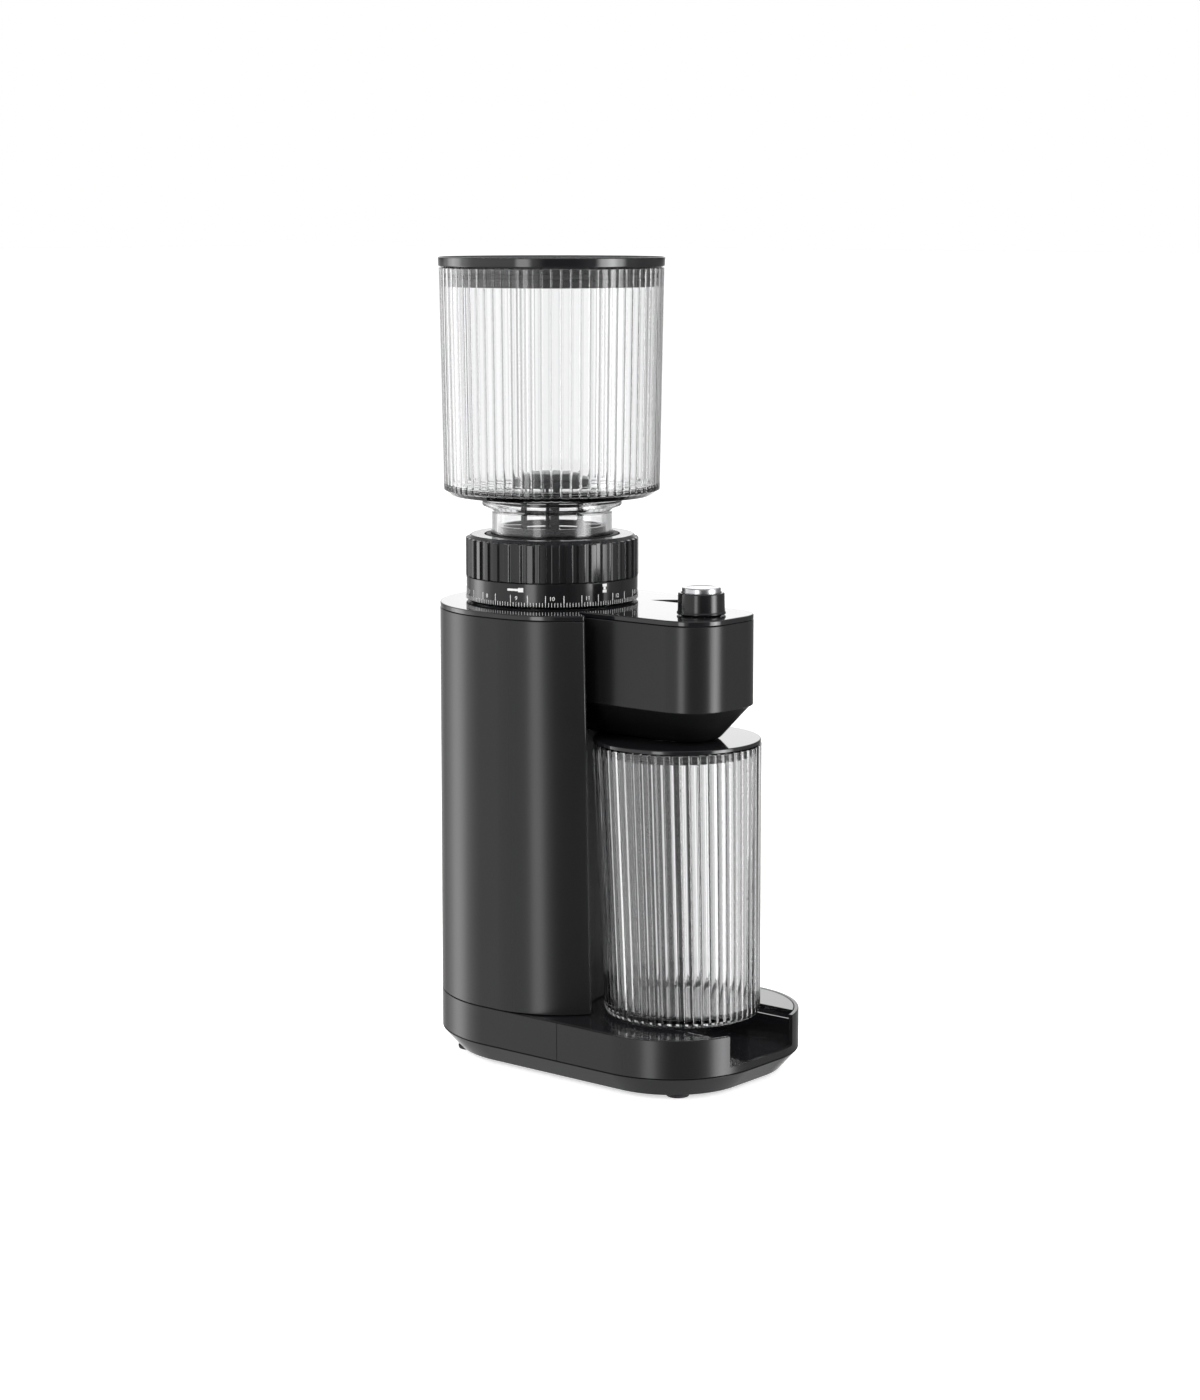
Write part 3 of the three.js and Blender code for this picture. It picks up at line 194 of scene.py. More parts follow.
def stacked(outline: Outline, profile: Array) -> Array:
    """Grid of an outline carried up a profile: row v is outline(inset v, height v) at height v.

    Args:
        outline: function from inset and height to an array of x and y.
        profile: rows of (inset, height) and anything after.

    Returns:
        An array of (rows, points in the outline, 3).
    """
    rows = []
    for inset, height in profile[:, :2]:
        plan = outline(inset, height)
        rows.append(np.column_stack([plan, np.full(len(plan), height)]))
    return np.stack(rows)


def grid_quads(rows: int, columns: int, wrap_rows: bool) -> Array:
    """Corner numbers of the quads of a grid whose last column joins the first, row by row."""
    r = np.arange(rows if wrap_rows else rows - 1)
    r, c = np.meshgrid(r, np.arange(columns), indexing="ij")
    r1, c1 = (r + 1) % rows, (c + 1) % columns
    quads = np.stack([r * columns + c, r * columns + c1, r1 * columns + c1, r1 * columns + c], axis=-1)
    return quads.reshape(-1, 4)


def circles_meet(first: Array, first_radius: float, second: Array, second_radius: float) -> Array:
    """The meeting point of two circles that lies further to +X."""
    way = second - first
    distance = np.hypot(*way)
    along = (distance**2 + first_radius**2 - second_radius**2) / (2 * distance)
    across = math.sqrt(max(first_radius**2 - along**2, 0.0))
    foot = first + way * along / distance
    normal = np.array([-way[1], way[0]]) / distance
    points = [foot + normal * across, foot - normal * across]
    return max(points, key=lambda p: p[0])


# ---- Making objects ------------------------------------------------------------------------------


class Ends(Enum):
    """How a grid of points closes along its rows."""

    LOOP = "loop"  # the last row joins the first
    CAPPED = "capped"  # a flat face at either end
    OPEN = "open"  # the ends meet on the axis or are left to the caller


def clean(mesh: bpy.types.Mesh, sharp: float = math.radians(32)) -> None:
    """Merges doubled points, turns the faces outwards and marks edges sharper than an angle."""
    work = bmesh.new()
    work.from_mesh(mesh)
    bmesh.ops.remove_doubles(work, verts=work.verts, dist=2e-6)
    bmesh.ops.dissolve_degenerate(work, edges=work.edges, dist=1e-6)
    bmesh.ops.recalc_face_normals(work, faces=work.faces)
    work.to_mesh(mesh)
    work.free()
    mesh.shade_smooth()
    mesh.set_sharp_from_angle(angle=sharp)


def new_object(name: str, data: bpy.types.ID) -> bpy.types.Object:
    """A new object in the scene that shows a mesh, curve, lamp or camera."""
    made = bpy.data.objects.new(name, data)
    bpy.context.scene.collection.objects.link(made)
    return made


def grid_object(name: str, grid: Array, ends: Ends = Ends.LOOP) -> bpy.types.Object:
    """An object from a grid of points in millimetres, whose last column joins the first.

    Args:
        name: the piece's name.
        grid: an array of (rows, columns, 3).
        ends: how the rows close.

    Returns:
        The new object, at the origin, with its place in its mesh.
    """
    rows, columns = grid.shape[:2]
    faces = grid_quads(rows, columns, ends is Ends.LOOP).tolist()
    if ends is Ends.CAPPED:
        faces.append(list(range(columns))[::-1])
        faces.append(list(range((rows - 1) * columns, rows * columns)))
    mesh = bpy.data.meshes.new(name)
    mesh.from_pydata((grid.reshape(-1, 3) * MM).tolist(), [], faces)
    mesh.validate()
    clean(mesh)
    return new_object(name, mesh)


def lathed(name: str, corners: Sequence[Sequence[float]], axis_y: float, segments: int,
           closed: bool = True, steps: int = 4, ripple: Optional[Ripple] = None) -> bpy.types.Object:
    """A round piece: the rounded profile turned about an upright axis.

    Args:
        name: the piece's name.
        corners: the profile's corners, as rounded() takes them.
        axis_y: y of the axis.
        segments: columns round the axis.
        closed: whether the profile closes on itself; an open one starts and ends on the axis.
        steps: chords in each rounded corner.
        ripple: depth of the surface's ripple as a function of the angle.

    Returns:
        The new object.
    """
    grid = turned(rounded(corners, closed, steps), axis_y, segments, ripple)
    return grid_object(name, grid, Ends.LOOP if closed else Ends.OPEN)


def prism(name: str, outline: Outline, low: float, high: float) -> bpy.types.Object:
    """An outline pulled straight up between two heights."""
    return grid_object(name, stacked(outline, np.array([(0.0, low), (0.0, high)])), Ends.CAPPED)


def box_object(x0: float, x1: float, y0: float, y1: float, z0: float, z1: float) -> bpy.types.Object:
    """A plain box, used as a cutting tool."""
    corners = np.array([(x0, y0), (x1, y0), (x1, y1), (x0, y1)])
    return prism("box", lambda inset, height: corners, z0, z1)


def drill(radius: float, low: float, high: float, axis_y: float, segments: int) -> bpy.types.Object:
    """A plain upright cylinder, used as a cutting tool."""
    rows = np.array([(radius, low, 0), (radius, high, 0)])
    return grid_object("drill", turned(rows, axis_y, segments), Ends.CAPPED)


def carved(target: bpy.types.Object, tool: bpy.types.Object,
           operation: str = "DIFFERENCE") -> bpy.types.Object:
    """The target after an exact boolean with the tool, which is used up."""
    modifier = target.modifiers.new("cut", "BOOLEAN")
    modifier.object = tool
    modifier.operation = operation
    modifier.solver = "EXACT"
    graph = bpy.context.evaluated_depsgraph_get()
    mesh = bpy.data.meshes.new_from_object(target.evaluated_get(graph))
    target.modifiers.clear()
    target.data = mesh
    bpy.data.objects.remove(tool)
    clean(mesh, math.radians(28))
    return target


def settle(piece: bpy.types.Object, body: str, look: "Finish | ClearPlastic", *stands_for: str) -> None:
    """Dresses a piece, puts it on its body and reports it.

    Args:
        piece: the finished object.
        body: the CAD body that it rides on.
        look: its finish.
        stands_for: the CAD nodes that it replaces.
    """
    piece.data.materials.clear()
    piece.data.materials.append(look.material())
    even = piece.modifiers.new("even_normals", "WEIGHTED_NORMAL")
    even.keep_sharp = True
    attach(piece, body)
    if stands_for:
        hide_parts(*stands_for)
    LOG.info("%s on %s in %s", piece.name, body, look.name)


# ---- Finishes ------------------------------------------------------------------------------------


class Graph:
    """A short way to add and join the nodes of one tree."""

    def __init__(self, tree: bpy.types.NodeTree) -> None:
        """Keeps the tree that nodes go into."""
        self.tree = tree

    def add(self, kind: str, **values: object) -> bpy.types.Node:
        """Adds a node; values set its properties, or its sockets where a socket has that name.

        Args:
            kind: the node's type.
            values: property or socket values; an underscore in a socket's name stands for a space.

        Returns:
            The new node.
        """
        node = self.tree.nodes.new(kind)
        for key, value in values.items():
            if key in node.bl_rna.properties:
                setattr(node, key, value)
            else:
                node.inputs[key.replace("_", " ")].default_value = value
        return node

    def link(self, source: bpy.types.NodeSocket, target: bpy.types.NodeSocket) -> None:
        """Joins two sockets."""
        self.tree.links.new(source, target)

    def math(self, operation: str, *values: object) -> bpy.types.NodeSocket:
        """A math node on sockets or numbers.

        Args:
            operation: the node's operation.
            values: its inputs in order.

        Returns:
            The node's output.
        """
        node = self.add("ShaderNodeMath", operation=operation)
        for socket, value in zip(node.inputs, values):
            if isinstance(value, bpy.types.NodeSocket):
                self.link(value, socket)
            else:
                socket.default_value = value
        return node.outputs[0]

    def step(self, value: bpy.types.NodeSocket, low: float, high: float) -> bpy.types.NodeSocket:
        """A smooth step from 0 at low to 1 at high."""
        node = self.add("ShaderNodeMapRange", interpolation_type="SMOOTHSTEP")
        self.link(value, node.inputs["Value"])
        node.inputs["From Min"].default_value = low
        node.inputs["From Max"].default_value = high
        return node.outputs[0]

    def scaled(self, colour: bpy.types.NodeSocket, factor: bpy.types.NodeSocket) -> bpy.types.NodeSocket:
        """A colour times a factor."""
        node = self.add("ShaderNodeVectorMath", operation="SCALE")
        self.link(colour, node.inputs[0])
        self.link(factor, node.inputs["Scale"])
        return node.outputs[0]

    def mix_shaders(self, share: bpy.types.NodeSocket, first: bpy.types.NodeSocket,
                    second: bpy.types.NodeSocket) -> bpy.types.NodeSocket:
        """Two shaders mixed: the first where share is 0, the second where it is 1."""
        node = self.add("ShaderNodeMixShader")
        self.link(share, node.inputs[0])
        self.link(first, node.inputs[1])
        self.link(second, node.inputs[2])
        return node.outputs[0]


def fresh_graph(owner: bpy.types.Material | bpy.types.World) -> Graph:
    """The emptied node tree of a material or a world."""
    owner.use_nodes = True
    owner.node_tree.nodes.clear()
    return Graph(owner.node_tree)


def shader_group(name: str, inputs: Sequence[tuple], outputs: Sequence[tuple]) -> tuple:
    """A new shader node group with its sockets.

    Args:
        name: the group's name.
        inputs: (name, socket type, default) of each input.
        outputs: (name, socket type) of each output.

    Returns:
        The group, its graph, its input node and its output node.
    """
    group = bpy.data.node_groups.new(name, "ShaderNodeTree")
    for title, kind, default in inputs:
        socket = group.interface.new_socket(name=title, in_out="INPUT", socket_type=kind)
        if default is not None:
            socket.default_value = default
    for title, kind in outputs:
        group.interface.new_socket(name=title, in_out="OUTPUT", socket_type=kind)
    graph = Graph(group)
    return group, graph, graph.add("NodeGroupInput"), graph.add("NodeGroupOutput")


FLOAT, COLOUR, VECTOR = "NodeSocketFloat", "NodeSocketColor", "NodeSocketVector"


def grain_group() -> bpy.types.NodeTree:
    """Moulded or sprayed grain: fine noise as height, and a slow drift of roughness and shade."""
    group, g, inside, out = shader_group(
        "fine_grain",
        [("Vector", VECTOR, None), ("Scale", FLOAT, 900.0), ("Color", COLOUR, (0.5, 0.5, 0.5, 1)),
         ("Shade", FLOAT, 0.1), ("Roughness", FLOAT, 0.4), ("Spread", FLOAT, 0.05)],
        [("Color", COLOUR), ("Roughness", FLOAT), ("Height", FLOAT)],
    )
    given = inside.outputs
    fine = g.add("ShaderNodeTexNoise", Detail=3.0, Roughness=0.6)
    slow = g.add("ShaderNodeTexNoise", Scale=26.0, Detail=4.0, Roughness=0.55)
    g.link(given["Vector"], fine.inputs["Vector"])
    g.link(given["Scale"], fine.inputs["Scale"])
    g.link(given["Vector"], slow.inputs["Vector"])
    centred = g.math("SUBTRACT", slow.outputs[0], 0.5)
    wander = g.math("MULTIPLY_ADD", centred, given["Spread"], given["Roughness"])
    drift = g.math("MULTIPLY_ADD", centred, given["Shade"], 1.0)
    g.link(g.scaled(given["Color"], drift), out.inputs["Color"])
    g.link(wander, out.inputs["Roughness"])
    g.link(fine.outputs[0], out.inputs["Height"])
    return group


def turning_group() -> bpy.types.NodeTree:
    """Lathe marks: rings about the Z axis whose spacing wavers, as height and roughness."""
    group, g, inside, out = shader_group(
        "turning_marks",
        [("Vector", VECTOR, None), ("Pitch", FLOAT, 4000.0), ("Roughness", FLOAT, 0.25),
         ("Spread", FLOAT, 0.08)],
        [("Roughness", FLOAT), ("Height", FLOAT)],
    )
    given = inside.outputs
    waves = g.add("ShaderNodeTexWave", wave_type="RINGS", rings_direction="Z", Distortion=0.6, Detail=2.0)
    g.link(given["Vector"], waves.inputs["Vector"])
    g.link(given["Pitch"], waves.inputs["Scale"])
    wander = g.math("MULTIPLY_ADD", waves.outputs["Fac"], given["Spread"], given["Roughness"])
    g.link(wander, out.inputs["Roughness"])
    g.link(waves.outputs["Fac"], out.inputs["Height"])
    return group


def winding_group() -> bpy.types.NodeTree:
    """Lacquered wire wound side by side: thin bands along Z, with painted shade that darkens the colour
    between the turns.
    """
    group, g, inside, out = shader_group(
        "wire_winding",
        [("Vector", VECTOR, None), ("Turns", FLOAT, 500.0), ("Color", COLOUR, (0.5, 0.25, 0.1, 1))],
        [("Color", COLOUR), ("Height", FLOAT)],
    )
    given = inside.outputs
    waves = g.add("ShaderNodeTexWave", wave_type="BANDS", bands_direction="Z", Distortion=0.3)
    g.link(given["Vector"], waves.inputs["Vector"])
    g.link(given["Turns"], waves.inputs["Scale"])
    # Painted shade: the colour is darker between the turns, where the creases lie.
    crease_shade = g.math("MULTIPLY_ADD", waves.outputs["Fac"], 0.7, 0.45)
    g.link(g.scaled(given["Color"], crease_shade), out.inputs["Color"])
    g.link(waves.outputs["Fac"], out.inputs["Height"])
    return group


class Texture(Enum):
    """What gives a finish its small-scale surface."""

    GRAIN = "grain"
    TURNED = "turned"
    WOUND = "wound"


@cache
def texture_group(texture: Texture) -> bpy.types.NodeTree:
    """The node group behind a texture, made once and then shared."""
    makers = {Texture.GRAIN: grain_group, Texture.TURNED: turning_group, Texture.WOUND: winding_group}
    return makers[texture]()


@dataclass(frozen=True)
class Finish:
    """An opaque finish: colour, gloss and the grain of its surface."""

    name: str
    slot: str
    colour: tuple
    roughness: float
    metallic: float = 0.0
    coat: float = 0.0
    coat_roughness: float = 0.1
    ior: float = 1.5
    texture: Texture = Texture.GRAIN
    scale: float = 900.0
    depth: float = 0.02  # height of the grain, in millimetres
    shade: float = 0.12
    spread: float = 0.06

    @cache
    def material(self) -> bpy.types.Material:
        """The finish as a material, made once and then shared."""
        made = bpy.data.materials.new(self.name)
        g = fresh_graph(made)
        surface = g.add("ShaderNodeBsdfPrincipled")
        values = {
            "Base Color": (*self.colour, 1), "Roughness": self.roughness, "Metallic": self.metallic,
            "Coat Weight": self.coat, "Coat Roughness": self.coat_roughness, "IOR": self.ior,
        }
        for socket, value in values.items():
            surface.inputs[socket].default_value = value
        place = g.add("ShaderNodeTexCoord")
        grain = g.add("ShaderNodeGroup", node_tree=texture_group(self.texture))
        g.link(place.outputs["Object"], grain.inputs["Vector"])
        self.dress(g, grain, surface)
        bump = g.add("ShaderNodeBump", Strength=1.0, Distance=self.depth * MM)
        g.link(grain.outputs["Height"], bump.inputs["Height"])
        g.link(bump.outputs["Normal"], surface.inputs["Normal"])
        output = g.add("ShaderNodeOutputMaterial")
        g.link(surface.outputs[0], output.inputs["Surface"])
        return made

    def dress(self, g: Graph, grain: bpy.types.Node, surface: bpy.types.Node) -> None:
        """Sets the group's values and joins what it puts out to the shader."""
        values = {"Scale": self.scale, "Pitch": self.scale, "Turns": self.scale, "Shade": self.shade,
                  "Roughness": self.roughness, "Spread": self.spread, "Color": (*self.colour, 1)}
        for socket in grain.inputs:
            if socket.name in values:
                socket.default_value = values[socket.name]
        for title, target in (("Color", "Base Color"), ("Roughness", "Roughness")):
            if title in grain.outputs:
                g.link(grain.outputs[title], surface.inputs[target])


@dataclass(frozen=True)
class ClearPlastic:
    """Clear moulded plastic with painted shade: its colour greys where its surface turns away from the eye.
    """

    name: str
    slot: str
    colour: tuple = (0.995, 0.997, 1.0)
    # painted shade: the grey that faces turned away from the eye take on
    grazing_shade_colour: tuple = (0.94, 0.945, 0.95)
    shadow_colour: tuple = (0.94, 0.94, 0.94)
    # how far the painted grey reaches in from the faces turned away from the eye
    edge: float = 0.35
    ior: float = 1.58
    roughness: float = 0.003
    spread: float = 0.002
    scale: float = 60.0

    @cache
    def material(self) -> bpy.types.Material:
        """The plastic as a material, made once and then shared."""
        made = bpy.data.materials.new(self.name)
        g = fresh_graph(made)
        surface = g.add("ShaderNodeBsdfPrincipled", Transmission_Weight=1.0, IOR=self.ior)
        place = g.add("ShaderNodeTexCoord")
        grain = g.add("ShaderNodeGroup", node_tree=texture_group(Texture.GRAIN))
        for title, value in (("Scale", self.scale), ("Roughness", self.roughness), ("Spread", self.spread)):
            grain.inputs[title].default_value = value
        g.link(place.outputs["Object"], grain.inputs["Vector"])
        g.link(grain.outputs["Roughness"], surface.inputs["Roughness"])
        # Painted shade: the colour greys on faces that turn away from the eye, in place of the dark stripes
        # that the reeds' refraction gives.
        facing = g.add("ShaderNodeLayerWeight", Blend=self.edge)
        painted_grey_tint = g.add("ShaderNodeMix", data_type="RGBA")
        for number, colour in ((6, self.colour), (7, self.grazing_shade_colour)):  # its two colour sockets
            painted_grey_tint.inputs[number].default_value = (*colour, 1)
        g.link(facing.outputs["Facing"], painted_grey_tint.inputs[0])
        g.link(painted_grey_tint.outputs[2], surface.inputs["Base Color"])
        # Light passes through to what lies behind, instead of leaving it in the dark.
        path = g.add("ShaderNodeLightPath")
        through = g.add("ShaderNodeBsdfTransparent")
        through.inputs[0].default_value = (*self.shadow_colour, 1)
        either = g.math("MAXIMUM", path.outputs["Is Shadow Ray"], path.outputs["Is Diffuse Ray"])
        output = g.add("ShaderNodeOutputMaterial")
        g.link(g.mix_shaders(either, surface.outputs[0], through.outputs[0]), output.inputs["Surface"])
        return made


CHARCOAL = Finish("satin_charcoal", "charcoal_body", (0.026, 0.026, 0.027), 0.24, metallic=0.55,
                  scale=2600.0, depth=0.003, shade=0.06, spread=0.04)
GLOSS = Finish("polished_black", "gloss_black", (0.007, 0.007, 0.008), 0.06, ior=1.6, scale=300.0,
               depth=0.0006, shade=0.1, spread=0.03)
BLACK = Finish("grained_black", "black_plastic", (0.004, 0.004, 0.0045), 0.5, ior=1.3, scale=1500.0,
               depth=0.02, spread=0.1)
KNOB_BLACK = Finish("knob_black", "black_plastic", (0.008, 0.008, 0.009), 0.14, scale=1500.0, depth=0.002)
RING_BLACK = Finish("ring_grip_black", "ring_black", (0.010, 0.010, 0.011), 0.17, scale=1800.0, depth=0.002)
SCALE_BLACK = Finish("scale_black", "gloss_black", (0.008, 0.008, 0.009), 0.12, scale=1800.0, depth=0.002)
PRINT = Finish("white_print", "gloss_black", (0.82, 0.82, 0.81), 0.45, scale=1200.0, depth=0.002)
RUBBER = Finish("soft_rubber", "rubber", (0.012, 0.012, 0.012), 0.8, scale=1200.0, depth=0.03)
STEEL = Finish("turned_steel", "steel", (0.56, 0.57, 0.58), 0.22, metallic=1.0, texture=Texture.TURNED,
               scale=900.0, depth=0.004)
SILVER = Finish("bright_cap", "silver_cap", (0.62, 0.62, 0.64), 0.24, metallic=1.0,
                texture=Texture.TURNED, scale=1600.0, depth=0.002, spread=0.06)
ALLOY = Finish("cast_alloy", "cast_alloy", (0.4, 0.41, 0.43), 0.5, metallic=1.0, scale=700.0, depth=0.06,
               shade=0.3, spread=0.2)
COPPER = Finish("copper_winding", "copper_winding", (0.5, 0.2, 0.08), 0.3, metallic=1.0,
                texture=Texture.WOUND, scale=420.0, depth=0.15)
MAGNET = Finish("sintered_magnet", "magnet", (0.07, 0.07, 0.075), 0.6, metallic=0.4, scale=900.0,
                depth=0.03)
NYLON = Finish("milky_nylon", "nylon", (0.76, 0.73, 0.65), 0.5, scale=800.0, depth=0.01)
BOARD = Finish("solder_mask", "board_green", (0.01, 0.1, 0.035), 0.4, scale=500.0, depth=0.02)
CLEAR = ClearPlastic("clear_acrylic", "clear_plastic")


# ---- Base ----------------------------------------------------------------------------------------


@dataclass
class Base:
    """Low base: chamfered pan, two wrap-round bands, glossy deck with a channel, and four feet."""

    front_corner: float = 48.0
    pan_inset: float = 8.7
    pan_floor: float = 2.4
    wall: float = 2.2
    tray_half: float = 34.0
    tray_drop: float = 2.3
    channel_half: float = 26.0
    channel_floor: float = 16.0
    trough_wall: float = 1.6
    deck_thickness: float = 4.3
    foot_pad: float = 1.7
    foot_peg: float = 2.4
    bush_radii: tuple = (3.4, 4.4, 6.3)  # bore, collar and body of the lead's bush
    bush_collar: float = 3.0
    edge: float = 0.45  # rounding of the outer edges
    beyond: float = 400.0  # cutting tools reach past the base by this much
    body: str = "base_and_column"

    def __post_init__(self) -> None:
        """Reads the base's places from the frame."""
        self.pan = Extent.of("base_pan")
        self.rear = Extent.of("base_rear_band")
        self.container = Extent.of("container_body")
        self.half = self.pan.high[0]
        self.back_y = self.pan.high[1]
        self.front_y = self.pan.low[1]

    def outline(self, inset: float, height: float = 0.0) -> Array:
        """Plan of the base: a half circle behind, straight sides, and large round front corners."""
        half, corner = self.half - inset, self.front_corner - inset
        middle = (self.half - self.front_corner, self.front_y + self.front_corner)
        right = np.vstack([
            arc((0, self.back_y - self.half), half, QUARTER, 0, 40),
            arc(middle, corner, 0, -QUARTER, 36),
            [(0, self.front_y + inset)],
        ])
        return mirrored(right)

    def slot(self, half: float) -> Outline:
        """Plan of a slot that is round behind the container's foot and runs out at the front."""
        centre = self.container.low[1] + CUP_FOOT
        front = self.front_y - 5

        def plan(inset: float, height: float) -> Array:
            """The slot's outline, drawn in by inset."""
            return np.vstack([
                [(half - inset, front)], arc((0, centre), half - inset, 0, math.pi, 48),
                [(inset - half, front)],
            ])
        return plan

    def make_pan(self) -> None:
        """The pan: bottom, chamfer, rim and the hollow inside."""
        low, high = self.pan.low[2], self.pan.high[2]
        profile = rounded([
            (self.pan_inset + 1, low, 0), (self.pan_inset, low, 0.8), (0, high - 0.2, 1.2), (0.2, high, 0),
            (self.wall, high, 0), (self.pan_inset + self.wall, low + self.pan_floor, 0),
        ], closed=False)
        pan = grid_object("pan", stacked(self.outline, profile), Ends.CAPPED)
        settle(pan, self.body, CHARCOAL, "base_pan")

    def band_ring(self, name: str) -> bpy.types.Object:
        """The whole wall round the base, before it is divided."""
        low, high, e = self.rear.low[2], self.rear.high[2], self.edge
        profile = rounded([
            (0, low, e), (0, high, e), (self.wall, high, 0.2), (self.wall, low, 0.2),
        ])
        return grid_object(name, stacked(self.outline, profile))

    def make_bands(self) -> None:
        """The rear band, and the front band with its notch."""
        seam, far = self.rear.low[1], self.beyond
        behind = box_object(-far, far, seam, far, -far, far)
        rear = carved(self.band_ring("rear_band"), behind, "INTERSECT")
        settle(rear, self.body, CHARCOAL, "base_rear_band")
        ahead = box_object(-far, far, -far, seam - GAP, -far, far)
        front = carved(self.band_ring("front_band"), ahead, "INTERSECT")
        notch = box_object(-self.channel_half, self.channel_half, -far, self.front_y + 40,
                           self.channel_floor, far)
        settle(carved(front, notch), self.body, CHARCOAL, "base_front_band")

    def make_deck(self) -> None:
        """The deck with its tray, one step down, and the channel with its trough."""
        top = self.rear.high[2]
        inset = self.wall + GAP
        rim = rounded([(inset + 0.3, top - self.deck_thickness, 0), (inset, top - self.deck_thickness, 0),
                       (inset, top, 0.3), (inset + 1, top, 0)], closed=False)
        deck = grid_object("deck", stacked(self.outline, rim), Ends.CAPPED)
        trough_low = self.channel_floor - self.trough_wall
        trough = prism("trough", self.slot(self.channel_half + self.trough_wall), trough_low, top - 1)
        bound = prism("bound", lambda i, z: self.outline(inset), 0, top)
        deck = carved(deck, carved(trough, bound, "INTERSECT"), "UNION")
        tray = prism("tray", self.slot(self.tray_half), top - self.tray_drop, top + 5)
        channel = prism("channel", self.slot(self.channel_half), self.channel_floor, top + 5)
        settle(carved(carved(deck, tray), channel), self.body, GLOSS, "base_deck")

    def make_feet(self) -> None:
        """Four round rubber feet with pegs."""
        for number in range(1, 5):
            node = f"foot_{number}"
            place = Extent.of(node)
            x, y, _ = place.middle
            radius = (place.high[0] - place.low[0]) / 2
            profile = rounded([
                (0, 0, 0), (radius - 0.4, 0, 0.5), (radius, self.foot_pad, 0.2),
                (self.foot_peg, self.foot_pad, 0), (self.foot_peg, place.high[2], 0.3),
                (0, place.high[2], 0),
            ], closed=False)
            grid = turned(profile, y, 48)
            grid[..., 0] += x
            settle(grid_object(f"rubber_foot_{number}", grid, Ends.OPEN), self.body, RUBBER, node)

    def make_gland(self) -> None:
        """Bush in the back wall for the mains lead."""
        place = Extent.of("cord_gland")
        back, front = place.high[1], place.low[1]
        bore, collar, outer = self.bush_radii
        step = back - self.bush_collar
        profile = rounded([(bore, back, 0.3), (collar, back, 0.4), (collar, step, 0.1), (outer, step, 0.2),
                           (outer, front, 0.3), (bore, front, 0.2)])
        ring = turned(profile, 0, 48)
        height = place.middle[2]
        grid = np.stack([ring[..., 0], ring[..., 2], ring[..., 1] + height], axis=2)
        settle(grid_object("lead_bush", grid), self.body, RUBBER, "cord_gland")

    def build(self) -> None:
        """Makes every piece of the base."""
        self.make_pan()
        self.make_bands()
        self.make_deck()
        self.make_feet()
        self.make_gland()


# ---- Column, plate, head and chin ----------------------------------------------------------------


